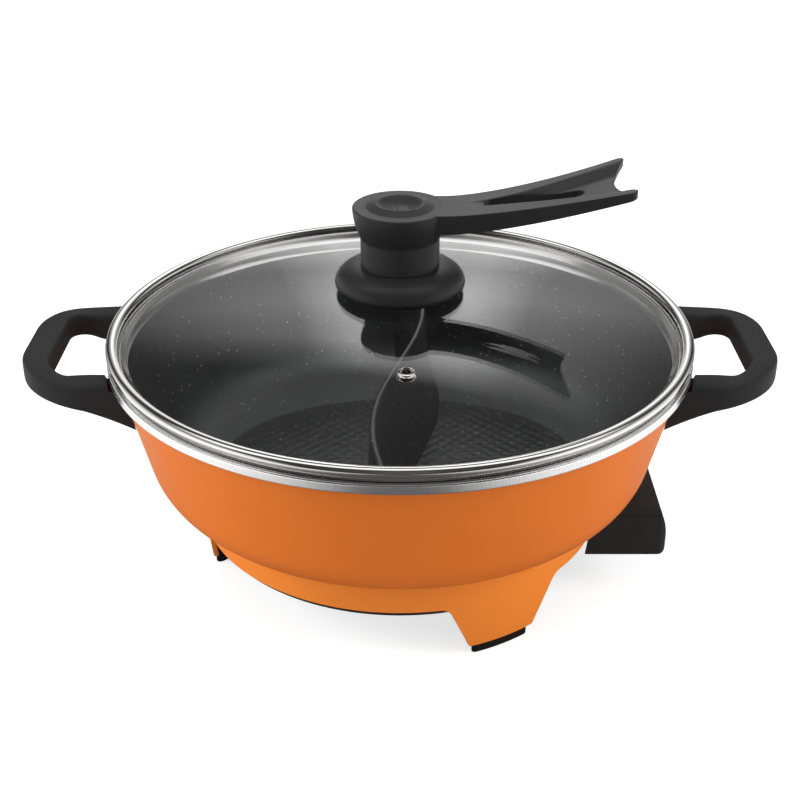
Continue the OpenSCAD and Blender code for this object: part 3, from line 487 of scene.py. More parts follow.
@dataclass(frozen=True)
class Finish:
    """A plain moulded, painted or metal finish with grain and handled patches.

    Args:
        name: the material's name.
        colour: its colour, linear.
        rough: roughness where the surface is smoothest and where it is dullest.
        spread: how far the colour varies over the surface.
        metal: 1 for bare metal.
        coat: weight of a clear coat.
        fineness: grain scale, per metre.
        depth: depth of the grain in millimetres.
        specular: specular level.
    """

    name: str
    colour: Colour
    rough: Span = (0.35, 0.5)
    spread: float = 0.06
    metal: float = 0.0
    coat: float = 0.0
    fineness: float = 900.0
    depth: float = 0.05
    specular: float = 0.5

    def start(self) -> tuple[Material, Tree, Node]:
        """A new material with its shader's constant sockets set."""
        material = bpy.data.materials.new(self.name)
        material.use_nodes = True
        tree = Tree(material.node_tree)
        shader = material.node_tree.nodes["Principled BSDF"]
        shader.inputs["Metallic"].default_value = self.metal
        shader.inputs["Coat Weight"].default_value = self.coat
        shader.inputs["Coat Roughness"].default_value = 0.12
        shader.inputs["Specular IOR Level"].default_value = self.specular
        return material, tree, shader

    def shades(self) -> tuple[Rgba, Rgba]:
        """The darkest and the lightest colour on the surface."""
        return rgba(self.colour, 1.0 - self.spread), rgba(self.colour, 1.0 + self.spread)

    def surface(self, tree: Tree, shader: Node, bend: float) -> Socket:
        """Sets the roughness and the grain.

        Args:
            tree: the material's node builder.
            shader: its shader.
            bend: strength of the grain's bump.

        Returns:
            The socket that says where the surface was handled.
        """
        grain = tree.group(GRAIN, Fineness=self.fineness)
        patch = grain.outputs["Patch"]
        tree.feed(tree.remap(patch, UNIT, self.rough), shader.inputs["Roughness"])
        tree.feed(tree.bump(grain.outputs["Grain"], bend, self.depth), shader.inputs["Normal"])
        return patch

    def build(self) -> Material:
        """Makes the material."""
        material, tree, shader = self.start()
        patch = self.surface(tree, shader, 0.35)
        tree.feed(tree.blend(patch, *self.shades()), shader.inputs["Base Color"])
        return material


@dataclass(frozen=True)
class NonstickFinish(Finish):
    """Dark non-stick coating with pale flecks, lighter at its foot and along an edge.

    The lighter foot is a painted highlight. The edge line is partly wear to bare metal and partly a painted
    highlight.

    Args:
        fleck: colour of the flecks.
        bare: colour of the edge line, partly bare metal from wear and partly a painted highlight.
        wear_and_sheen_h: height over which the edge line fades in, in millimetres.
        edge_z: height of the edge line in millimetres, or a height that the piece doesn't reach.
        foot_z: height in millimetres up to which the coating is painted paler, as a painted highlight, or a
            height below the piece.
        foot_h: height over which the painted highlight at the foot fades, in millimetres.
        pale: how much paler the painted highlight makes the foot.
    """

    fleck: Colour = (0.3, 0.3, 0.3)
    bare: Colour = (0.13, 0.13, 0.125)
    wear_and_sheen_h: float = 0.25
    edge_z: float = 1000.0
    # Below foot_z the colour is painted paler: a painted highlight.
    foot_z: float = -1000.0
    foot_h: float = 12.0
    pale: float = 3.0

    def build(self) -> Material:
        """Makes the material."""
        material, tree, shader = self.start()
        patch = self.surface(tree, shader, 0.3)
        fine = tree.group(FLECKS, Fineness=540.0, Share=0.16, Size=0.32).outputs["Fleck"]
        coarse = tree.group(FLECKS, Fineness=210.0, Share=0.1, Size=0.15).outputs["Fleck"]
        fleck = tree.math("MAXIMUM", fine, coarse)
        _, _, z = tree.axes(tree.place())
        # Painted highlight: the colour turns paler below foot_z and fades upwards over foot_h.
        foot = tree.remap(z, ((self.foot_z - self.foot_h) * MM, self.foot_z * MM), (1.0, 0.0))
        ground = tree.blend(foot, tree.blend(patch, *self.shades()), rgba(self.colour, self.pale))
        coated = tree.blend(fleck, ground, rgba(self.fleck))
        # The edge line turns lighter and partly metallic near edge_z: partly wear to bare metal, partly a
        # painted highlight.
        wear_and_sheen = tree.remap(z, ((self.edge_z - self.wear_and_sheen_h) * MM, self.edge_z * MM), UNIT)
        tree.feed(tree.blend(wear_and_sheen, coated, rgba(self.bare)), shader.inputs["Base Color"])
        tree.feed(tree.times(wear_and_sheen, 0.4), shader.inputs["Metallic"])
        return material


@dataclass(frozen=True)
class TurnedFinish(Finish):
    """Bare turned metal with fine marks that run round the rim.

    Args:
        count: marks round the rim.
        lean: how far the marks lean with height, per metre.
    """

    count: float = 620.0
    lean: float = 900.0

    def build(self) -> Material:
        """Makes the material: a sine of the angle round the axis that leans with height, faded by patches."""
        material, tree, shader = self.start()
        x, y, z = tree.axes(tree.place())
        turns = tree.times(tree.math("ARCTAN2", y, x), self.count)
        wave = tree.math("SINE", tree.math("ADD", turns, tree.times(z, self.lean)))
        patch = tree.group(GRAIN, Fineness=self.fineness).outputs["Patch"]
        mark = tree.times(tree.remap(wave, (-1.0, 1.0), UNIT), tree.remap(patch, UNIT, (0.4, 1.0)))
        dark, light = self.shades()
        tree.feed(tree.blend(mark, light, dark), shader.inputs["Base Color"])
        tree.feed(tree.remap(mark, UNIT, self.rough), shader.inputs["Roughness"])
        tree.feed(tree.bump(mark, 0.2, self.depth), shader.inputs["Normal"])
        return material


@dataclass(frozen=True)
class GlassFinish(Finish):
    """Clear glass: it bends and reflects what the eye sees, and lets light and shade straight through.

    Args:
        index: index of refraction.
    """

    index: float = 1.52

    def build(self) -> Material:
        """Makes the material."""
        material, tree, shader = self.start()
        shader.inputs["Transmission Weight"].default_value = 1.0
        shader.inputs["IOR"].default_value = self.index
        shader.inputs["Base Color"].default_value = rgba(self.colour)
        grain = tree.group(GRAIN, Fineness=self.fineness)
        tree.feed(tree.remap(grain.outputs["Patch"], UNIT, self.rough), shader.inputs["Roughness"])
        light = tree.add("ShaderNodeLightPath")
        clear = tree.add("ShaderNodeBsdfTransparent")
        clear.inputs["Color"].default_value = rgba(self.colour)
        straight = tree.math("MAXIMUM", light.outputs["Is Shadow Ray"], light.outputs["Is Diffuse Ray"])
        choice = tree.add("ShaderNodeMixShader")
        tree.feed(straight, choice.inputs["Fac"])
        tree.feed(shader.outputs["BSDF"], choice.inputs[1])
        tree.feed(clear.outputs["BSDF"], choice.inputs[2])
        output = material.node_tree.nodes["Material Output"]
        tree.feed(choice.outputs["Shader"], output.inputs["Surface"])
        return material


class Finishes:
    """Every material of the hot pot, made once."""

    def __init__(self, divider_top: float, floor_z: float) -> None:
        """Makes the materials.

        Args:
            divider_top: height of the divider's edge line, partly wear and partly a painted highlight, in
                millimetres.
            floor_z: height of the pan's floor, in millimetres.
        """
        self.enamel = Finish(
            "Orange enamel", (0.8, 0.19, 0.022), (0.34, 0.44), 0.03, fineness=420.0, depth=0.03,
            specular=0.15).build()
        self.skirt = Finish(
            "Orange moulding", (0.96, 0.275, 0.035), (0.38, 0.48), 0.03, fineness=700.0, depth=0.03,
            specular=0.2).build()
        self.black = Finish(
            "Black moulding", (0.029, 0.029, 0.0295), (0.46, 0.56), 0.12, fineness=1100.0, depth=0.04,
            specular=0.04).build()
        self.glossy_black = Finish(
            "Black knob moulding", (0.0215, 0.0215, 0.022), (0.34, 0.44), 0.1, fineness=1200.0, depth=0.03,
            specular=0.22).build()
        self.rubber = Finish(
            "Foot rubber", (0.012, 0.012, 0.012), (0.7, 0.85), 0.15, fineness=600.0,
            depth=0.1, specular=0.3).build()
        # The lining is painted paler up to 12.5 mm above the floor: a painted highlight for the light that
        # the floor's outer ring and corner catch.
        self.lining = NonstickFinish(
            "Non-stick lining", (0.028, 0.028, 0.029), (0.34, 0.44), 0.12, fineness=800.0, depth=0.05,
            specular=0.5, foot_z=floor_z + 12.5).build()
        # The embossed floor's coating is a little lighter than the lining: painted light for the glints that
        # the floor catches.
        self.embossed = NonstickFinish(
            "Embossed coating", (0.031, 0.031, 0.032), (0.34, 0.44), 0.12, fineness=800.0, depth=0.05,
            specular=0.5).build()
        # The divider's lighter edge line is partly wear and partly a painted highlight.
        self.divider = NonstickFinish(
            "Divider coating", (0.02, 0.02, 0.021), (0.4, 0.5), 0.12, fineness=800.0, depth=0.05,
            specular=0.3, edge_z=divider_top).build()
        self.turned = TurnedFinish(
            "Turned rim", (0.88, 0.88, 0.88), (0.22, 0.3), 0.08, metal=1.0, depth=0.02).build()
        self.polished = Finish(
            "Polished steel", (0.74, 0.72, 0.69), (0.07, 0.14), 0.03, metal=1.0, fineness=300.0,
            depth=0.01).build()
        # Darker steel for the inside of the lid's ring and the pan's throat: painted shade for these shaded
        # faces.
        self.seat = Finish(
            "Steel darkened for shade", (0.42, 0.41, 0.385), (0.16, 0.26), 0.06, metal=1.0, fineness=400.0,
            depth=0.01).build()
        self.steel = Finish(
            "Plated steel", (0.5, 0.5, 0.51), (0.3, 0.45), 0.08, metal=1.0, fineness=900.0,
            depth=0.03).build()
        self.aluminium = Finish(
            "Plain aluminium", (0.62, 0.62, 0.63), (0.4, 0.55), 0.08, metal=1.0, fineness=500.0,
            depth=0.05).build()
        self.brass = Finish(
            "Plain brass", (0.6, 0.42, 0.15), (0.25, 0.4), 0.08, metal=1.0, fineness=700.0,
            depth=0.03).build()
        self.sheath = Finish(
            "Heater sheath", (0.16, 0.15, 0.14), (0.5, 0.65), 0.2, metal=1.0, fineness=400.0,
            depth=0.06).build()
        self.cream = Finish(
            "Cream moulding", (0.66, 0.6, 0.48), (0.45, 0.6), 0.05, fineness=900.0, depth=0.04).build()
        self.lead = Finish(
            "Lead sleeve", (0.24, 0.03, 0.025), (0.55, 0.7), 0.1, fineness=1500.0, depth=0.06).build()
        self.mark = Finish(
            "Pointer paint", (0.7, 0.7, 0.68), (0.5, 0.6), 0.04, fineness=900.0, depth=0.02).build()
        self.lens = Finish(
            "Red lens", (0.45, 0.015, 0.012), (0.12, 0.2), 0.08, coat=0.6, fineness=300.0, depth=0.02).build()
        self.glass = GlassFinish(
            "Tempered glass", (0.985, 0.99, 0.988), (0.0, 0.012), 0.0).build()
        self.by_slot = {
            Slot.PAN: self.enamel, Slot.NONSTICK: self.lining, Slot.SKIRT: self.skirt, Slot.BLACK: self.black,
            Slot.POLISHED: self.polished, Slot.STEEL: self.steel, Slot.ALUMINIUM: self.aluminium,
            Slot.GLASS: self.glass, Slot.RUBBER: self.rubber, Slot.BRASS: self.brass,
            Slot.SHEATH: self.sheath, Slot.CREAM: self.cream, Slot.LENS: self.lens, Slot.LEAD: self.lead,
        }

    def dress_frame(self) -> None:
        """Gives every frame node the material of its slot."""
        for row in frame["record"]["subparts"]:
            mesh = frame["nodes"][row["node"]].data
            mesh.materials.clear()
            mesh.materials.append(self.by_slot[Slot(row["material_slot"])])


# The pan and its divider


class Zone(IntEnum):
    """The bowl's finishes, in the order of its materials."""

    OUTSIDE = 0
    BAND = 1
    COATED = 2
    THROAT = 3
    SLOPE = 4
    FLOOR = 5


@dataclass
class Pan:
    """The pan: enamelled bowl, turned rim band, coated inside and an S-shaped divider.

    Args:
        band_h: height of the turned band.
        band_step: how far the band stands out from the side.
        draft: lean of the side, in radians.
        corner_r: outer radius of the bowl's lower corner.
        wall: thickness of the side.
        floor_t: thickness of the floor.
        flat_r: radius of the flat floor.
        pattern_x: half length of the embossed oval on the floor, from side to side.
        pattern_y: half width of that oval, from front to back.
        pattern_pitch: spacing of the embossed diamonds.
        pattern_h: height of the embossed diamonds.
        ledge_h: depth of the bare mouth above the slope inside the rim.
        ledge_w: width of that slope.
        ledge_rake: fall of that slope for each millimetre of its width.
        ledge_fade: depth below the rim where the wall is even again.
        divider_drop: depth of the divider's edge below the rim.
        divider_edge: thickness of the divider at its edge.
        divider_root: thickness of the divider at the floor.
        divider_bow: sideways swing of the S.
        divider_gap: clearance between the divider and the pan.
        steps: columns round the pan.
    """

    band_h: float = 5.3
    band_step: float = 4.5
    draft: float = math.radians(13.7)
    corner_r: float = 34.0
    wall: float = 4.0
    floor_t: float = 5.0
    flat_r: float = 106.0
    pattern_x: float = 104.5
    pattern_y: float = 76.0
    pattern_pitch: float = 6.0
    pattern_h: float = 0.5
    ledge_h: float = 5.4
    ledge_w: float = 3.0
    ledge_rake: float = 0.7
    ledge_fade: float = 18.0
    divider_drop: float = 17.0
    divider_edge: float = 3.5
    divider_root: float = 22.0
    divider_bow: float = 14.0
    divider_gap: float = 0.1
    steps: int = 480

    def __post_init__(self) -> None:
        """Takes the rim's radius and the levels from the frame."""
        low, high = node_box("pan")
        self.rim_r, self.rim_z, self.bottom_z = high[1], high[2], low[2]
        self.band_z = self.rim_z - self.band_h
        self.floor_z = self.bottom_z + self.floor_t
        self.divider_top = self.rim_z - self.divider_drop
        self.inner_corner = self.corner_r - self.wall
        self.divider_wave = float(self.room_r(np.array(self.divider_top)))

    def side_r(self, z: Points | float) -> Points | float:
        """Radius of the bowl's side at height z: a cone below the band."""
        return self.rim_r - self.band_step - (self.band_z - z) * math.tan(self.draft)

    def cavity_r(self, z: Points | float) -> Points | float:
        """Radius of the inner side at height z, one wall inside the outer one."""
        return self.side_r(z) - self.wall / math.cos(self.draft)

    def room_r(self, z: Points) -> Points:
        """Radius of the space inside at height z: the cone above, the corner's circle below."""
        centre_z = self.floor_z + self.inner_corner
        centre_r = self.cavity_r(centre_z) - self.inner_corner / math.cos(self.draft)
        corner = centre_r + np.sqrt(np.maximum(self.inner_corner**2 - (centre_z - z) ** 2, 0.0))
        return np.where(z > centre_z - self.inner_corner * math.sin(self.draft), self.cavity_r(z), corner)

    def floor_grid(self) -> Points:
        """The embossed oval: z falls by h times (1 - |sin a| |sin b|), a and b along the two diagonals."""
        ring = np.linspace(1.0, 0.0, 72)
        grid = revolve(np.stack([ring, np.full_like(ring, self.floor_z)], axis=1), self.steps)
        grid[..., :2] *= np.array([self.pattern_x, self.pattern_y])
        share = math.pi / (self.pattern_pitch * math.sqrt(2.0))
        first = np.abs(np.sin((grid[..., 0] + grid[..., 1]) * share))
        second = np.abs(np.sin((grid[..., 0] - grid[..., 1]) * share))
        fade = 1.0 - smoothstep(0.94, 1.0, ring)
        grid[..., 2] -= self.pattern_h * fade * (1.0 - first * second)
        return grid

    def build_bowl(self, finishes: Finishes) -> None:
        """Revolves the bowl's profile: enamel outside, bare band at the rim, coating inside."""
        bottom, band_foot = self.bottom_z, self.side_r(self.band_z)
        mouth = self.cavity_r(self.rim_z)
        outside = fillet_line(
            [(0.0, bottom), (self.side_r(bottom), bottom), (band_foot, self.band_z)], [self.corner_r], 18)
        band = fillet_line(
            [(band_foot, self.band_z), (self.rim_r, self.band_z), (self.rim_r, self.rim_z),
             (mouth, self.rim_z)],
            [0.7, 1.0], 5)
        ledge_z = self.rim_z - self.ledge_h
        even_z = self.rim_z - self.ledge_fade
        ledge_r = self.cavity_r(ledge_z)
        coat_r = ledge_r - self.ledge_w
        throat = np.array([(mouth, self.rim_z), (ledge_r, ledge_z)])
        coat_z = ledge_z - self.ledge_rake * self.ledge_w
        ledge = np.array([(ledge_r, ledge_z), (coat_r, coat_z)])
        inside = fillet_line(
            [(coat_r, coat_z), (self.cavity_r(even_z), even_z), (self.cavity_r(self.floor_z), self.floor_z),
             (self.flat_r, self.floor_z)],
            [20.0, self.inner_corner], 18)
        embossed = self.floor_grid()
        edge = revolve(np.array([(self.flat_r, self.floor_z)]), self.steps)
        flat = np.concatenate([edge, embossed[:, :1]], axis=1)
        lines = {
            Zone.OUTSIDE: outside, Zone.BAND: band, Zone.THROAT: throat, Zone.SLOPE: ledge,
            Zone.COATED: inside}
        patches = [spin(line, self.steps, zone) for zone, line in lines.items()]
        patches.append(Patch(flat, wrap_rows=True, finish=Zone.COATED))
        patches.append(Patch(embossed, wrap_rows=True, finish=Zone.FLOOR))
        # The throat takes the darker steel, which is painted shade.
        materials = [finishes.enamel, finishes.turned, finishes.lining, finishes.seat, finishes.polished,
                     finishes.embossed]
        build_piece("bowl", patches, Dress(Body.COOKER, Slot.PAN, materials, ("pan",), sharp=50.0))

    def divider_x(self, y: Points) -> Points:
        """Sideways place of the divider's middle: one sine wave across the pan."""
        return self.divider_bow * np.sin(math.pi * y / self.divider_wave)

    def divider_side(self, side: float, half: Points, z: Points, share: Points) -> Points:
        """One wall of the divider: at each height the S is cut off where it meets the pan's side.

        Args:
            side: -1 or 1.
            half: half thickness at each level.
            z: height of each level.
            share: place along the S, from -1 to 1.

        Returns:
            A grid with one row for each place and one column for each level.
        """
        radius = (self.room_r(z) - self.divider_gap)[None, :]
        offset = (side * half)[None, :]
        place = share[:, None]
        guess = np.sqrt(radius**2 - (np.abs(self.divider_x(place * radius)) + np.abs(offset)) ** 2)
        slope = self.divider_bow * math.pi / self.divider_wave
        slant = np.sqrt(1.0 + (slope * np.cos(math.pi * guess / self.divider_wave)) ** 2)
        middle = self.divider_x(np.sign(place) * guess)
        y = place * np.sqrt(radius**2 - (middle + offset * slant) ** 2)
        slant = np.sqrt(1.0 + (slope * np.cos(math.pi * y / self.divider_wave)) ** 2)
        return np.stack([self.divider_x(y) + offset * slant, y, z[None, :] + 0.0 * y], axis=-1)

    def build_divider(self, finishes: Finishes) -> None:
        """Lofts the S-shaped wall: it flares to the floor as depth^2.2 and its edge is a half circle."""
        edge_r = self.divider_edge / 2.0
        base_z = self.floor_z + self.divider_gap
        deep = np.linspace(1.0, 0.03, 26)
        flare = (self.divider_edge + (self.divider_root - self.divider_edge) * deep**2.2) / 2.0
        wall_z = self.divider_top - edge_r + (base_z - self.divider_top + edge_r) * deep
        turn = np.radians(np.linspace(0.0, 90.0, 7))
        half = np.concatenate([flare, edge_r * np.cos(turn)])
        z = np.concatenate([wall_z, self.divider_top - edge_r + edge_r * np.sin(turn)])
        share = np.sin(np.linspace(-0.5, 0.5, 121) * math.pi)
        left, right = (self.divider_side(side, half, z, share) for side in (-1.0, 1.0))
        section = np.concatenate([left, right[:, ::-1]], axis=1)
        ends = [np.stack([left[end], right[end]], axis=1) for end in (0, -1)]
        under = np.stack([left[:, 0], right[:, 0]], axis=1)
        patches = [Patch(section), *[Patch(end) for end in ends], Patch(under)]
        dress = Dress(Body.COOKER, Slot.NONSTICK, [finishes.divider], ("pan_divider",), sharp=60.0)
        build_piece("pan_divider_wall", patches, dress)


# The base


@dataclass
class Base:
    """The skirt with its three legs and their rubber feet.

    Args:
        draft: lean of the skirt, in radians.
        wall: thickness of the skirt.
        edge_z: height of the skirt's lower edge.
        root_w: width of a leg where it leaves the skirt.
        foot_w: width of a leg at its foot.
        fillet_r: radius between leg and skirt.
        pad_depth: radial depth from a leg's face to the back of its foot.
        pad_inset: how far a foot stands in from the leg's face.
        pad_end: how far a foot stands in at each end.
        pad_taper: how much narrower a foot is at its back, on each side.
        pad_round: radius of a foot's outer corners in plan.
        groove: outline of a grip groove, as pairs of place and depth.
        grooves: where each groove starts, from a foot's back.
    """

    draft: float = math.radians(6.5)
    wall: float = 3.0
    edge_z: float = 35.5
    root_w: float = 70.0
    foot_w: float = 43.0
    fillet_r: float = 7.0
    pad_depth: float = 15.1
    pad_inset: float = 1.3
    pad_end: float = 2.7
    pad_taper: float = 9.0
    pad_round: float = 3.0
    groove: tuple[tuple[float, float], ...] = ((0.0, 0.0), (0.6, 0.8), (1.8, 0.8), (2.4, 0.0))
    grooves: tuple[float, ...] = (3.6, 8.0)

    def __post_init__(self) -> None:
        """Takes the skirt's levels and top radius from the frame."""
        low, high = node_box("base_skirt")
        self.foot_z, self.top_z, self.top_r = low[2], high[2], high[1]
        self.legs = {"rear": 60.0, "left": 180.0, "front": 300.0}

    def skirt_r(self, z: Points | float) -> Points | float:
        """Outer radius of the skirt and its legs at height z."""
        return self.top_r - (self.top_z - z) * math.tan(self.draft)

    def leg_line(self) -> Points:
        """Half of a leg's outline: distance from its middle, and height of the lower edge there."""
        return fillet_line(
            [(0.0, self.foot_z), (self.foot_w / 2.0, self.foot_z), (self.root_w / 2.0, self.edge_z),
             (self.root_w, self.edge_z)],
            [1.5, self.fillet_r], 10)

    def build_skirt(self, finishes: Finishes) -> None:
        """Carries the skirt's wall round the axis, with a lower edge that follows the legs' outline."""
        line = self.leg_line()
        reach = np.concatenate([-line[::-1, 0], line[:, 0]])
        leg_angles = [np.arcsin(reach / self.top_r) + math.radians(angle) for angle in self.legs.values()]
        angle = np.unique(np.round(np.concatenate([np.mod(np.concatenate(leg_angles), 2.0 * math.pi),
                                                   ring_angles(240)]), 5))
        angle = angle[np.concatenate([[True], np.diff(angle) > 5e-4])]
        middles = np.radians(np.array(list(self.legs.values())))[None, :]
        turn = np.mod(angle[:, None] - middles + math.pi, 2.0 * math.pi) - math.pi
        side = np.where(np.abs(turn) < math.pi / 2.0, self.top_r * np.abs(np.sin(turn)), self.root_w)
        low = np.interp(side.min(axis=1), line[:, 0], line[:, 1])[:, None]
        down = np.linspace(0.0, 1.0, 12)[None, :]
        outer_z = self.top_z + (low - self.top_z) * down
        outer_r = self.skirt_r(outer_z)
        z = np.concatenate([outer_z, outer_z[:, ::-1]], axis=1)
        r = np.concatenate([outer_r, outer_r[:, ::-1] - self.wall], axis=1)
        grid = np.stack([r * np.cos(angle)[:, None], r * np.sin(angle)[:, None], z], axis=-1)
        dress = Dress(Body.COOKER, Slot.SKIRT, [finishes.skirt], ("base_skirt",), bevel=0.7, sharp=48.0)
        build_piece("skirt", [Patch(grid, wrap_rows=True, wrap_columns=True)], dress)

    def build_foot(self, name: str, finishes: Finishes) -> None:
        """A pad under one leg: a section with grip grooves, carried along the leg's arc, with round ends."""
        face = self.skirt_r(self.foot_z)
        outer, inner = face - self.pad_inset, face - self.pad_depth
        grip = [(inner + start + place, depth) for start in self.grooves for place, depth in self.groove]
        seam = (inner + 4.0, self.foot_z)
        section = fillet_line(
            [seam, (inner, self.foot_z), (inner, 0.0), *grip, (outer, 0.0), (outer, self.foot_z), seam],
            [0.4, 0.9, *[0.2] * len(grip), 0.9, 0.4], 3)
        half = self.foot_w / 2.0 - self.pad_end
        side = half * np.sin(np.linspace(-0.5, 0.5, 41) * math.pi)
        past = np.clip(np.abs(side) - half + self.pad_round, 0.0, self.pad_round)
        cut = (self.pad_round - np.sqrt(self.pad_round**2 - past**2))[:, None]
        z = section[None, :-1, 1]
        r = inner + (section[None, :-1, 0] - inner) * (1.0 - cut / (outer - inner))
        back = (outer - r) / (outer - inner)
        narrowed = side[:, None] * (1.0 - back * self.pad_taper / half)
        angle = math.radians(self.legs[name]) + np.arcsin(narrowed / r)
        grid = np.stack([r * np.cos(angle), r * np.sin(angle), z + 0.0 * angle], axis=-1)
        dress = Dress(Body.COOKER, Slot.RUBBER, [finishes.rubber], (f"rubber_foot_{name}",), sharp=40.0)
        build_piece(f"{name}_foot_pad", [tube(grid)], dress)

    def build(self, finishes: Finishes) -> None:
        """Builds the skirt and the three feet."""
        self.build_skirt(finishes)
        for name in self.legs:
            self.build_foot(name, finishes)


# The handles


@dataclass
class Handle:
    """A loop handle, described on the +X side.

    Args:
        pan: the pan that it is fixed to.
        corner_r: outer corner radius.
        grip_r: corner radius of the finger opening.
        arm_t: width of an arm.
        bar_t: width of the grip bar.
        dip: dip of the top along the arms.
        lift: lift of the top from the pan to the grip bar.
        bar_h: height of the grip bar.
        sweep: power of the underside's sweep.
        power: power of the superellipse section.
        gap: clearance from the pan.
        root_in: how far inside the rim its outline starts.
        band_room: clearance from the rim band.
        room_z: heights between which that clearance opens.
    """

    pan: Pan
    corner_r: float = 40.0
    grip_r: float = 13.0
    arm_t: float = 16.5
    bar_t: float = 16.5
    dip: float = 1.9
    lift: float = 2.8
    bar_h: float = 14.0
    sweep: float = 1.6
    power: float = 6.0
    gap: float = 0.3
    root_in: float = 28.0
    band_room: float = 1.5
    room_z: Span = (132.5, 134.0)

    def __post_init__(self) -> None:
        """Takes the reach, the width and the levels from the frame."""
        low, high = node_box("right_handle")
        self.reach, self.half_w = high[0], high[1]
        self.top_z, self.floor_z = high[2] - self.lift, low[2]

    def outlines(self) -> tuple[Points, Points]:
        """Matching points on the outer and inner outlines in plan: arm, corner, bar, corner, arm."""

        def half(side_y: float, end_x: float, radius: float) -> Points:
            """Half of one outline, from the pan to the middle of the bar."""
            arm_x = np.linspace(self.pan.rim_r - self.root_in, end_x - radius, 26)[:-1]
            arm = np.stack([arm_x, np.full_like(arm_x, -side_y)], axis=1)
            corner = arc(end_x - radius, radius - side_y, radius, -90.0, 0.0, 19)
            bar_y = np.linspace(radius - side_y, 0.0, 6)[1:]
            return np.concatenate([arm, corner, np.stack([np.full_like(bar_y, end_x), bar_y], axis=1)])

        outer = half(self.half_w, self.reach, self.corner_r)
        inner = half(self.half_w - self.arm_t, self.reach - self.bar_t, self.grip_r)
        return tuple(np.concatenate([line, line[-2::-1] * FLIP_Y]) for line in (outer, inner))

    def pan_x(self, y: Points, z: Points) -> Points:
        """Where the pan's side stands in the way, at each y and z: the cone, then the rim band's room."""
        radius = self.pan.side_r(z) + self.gap
        radius = radius + (self.pan.rim_r + self.band_room - radius) * smoothstep(*self.room_z, z)
        return np.sqrt(radius**2 - y**2)

    def levels(self, x: Points) -> tuple[Points, Points]:
        """Height of the top and of the underside at x.

        The top lifts as 3u^2 - 2u^3 from the rim to the bar, less a dip of one cosine wave. The underside is
        level at the bar and falls away towards the pan as a power of the distance.
        """
        bar_x = self.reach - self.bar_t / 2.0
        share = np.clip((x - self.pan.rim_r) / (bar_x - self.pan.rim_r), 0.0, 1.0)
        dip = self.dip / 2.0 * (1.0 - np.cos(2.0 * math.pi * share))
        top = self.top_z + self.lift * smoothstep(0.0, 1.0, share) - dip
        foot_x = math.sqrt(self.pan.side_r(self.floor_z) ** 2 - self.half_w**2)
        low_z = self.top_z + self.lift - self.bar_h
        away = np.clip((bar_x - x) / (bar_x - foot_x), 0.0, 1.0)
        return top, low_z - (low_z - self.floor_z) * away**self.sweep

    def build(self, name: str, turned: bool, finishes: Finishes) -> None:
        """Carries a superellipse between the two outlines, and stops it at the pan's side."""
        outer, inner = self.outlines()
        middle, reach = (outer + inner) / 2.0, (outer - inner) / 2.0
        section = superellipse(56, self.power)
        plan = middle[:, None] + reach[:, None] * section[None, :, :1]
        top, floor = self.levels(middle[:, 0])
        z = ((top + floor) / 2.0)[:, None] + ((top - floor) / 2.0)[:, None] * section[None, :, 1]
        x = np.maximum(plan[..., 0], self.pan_x(plan[..., 1], z))
        grid = np.stack([x, plan[..., 1], z], axis=-1)
        if turned:
            grid = grid * np.array([-1.0, -1.0, 1.0])
        dress = Dress(Body.COOKER, Slot.BLACK, [finishes.black], (f"{name}_handle",), sharp=60.0)
        build_piece(f"{name}_loop_handle", [tube(grid)], dress)


# The lid


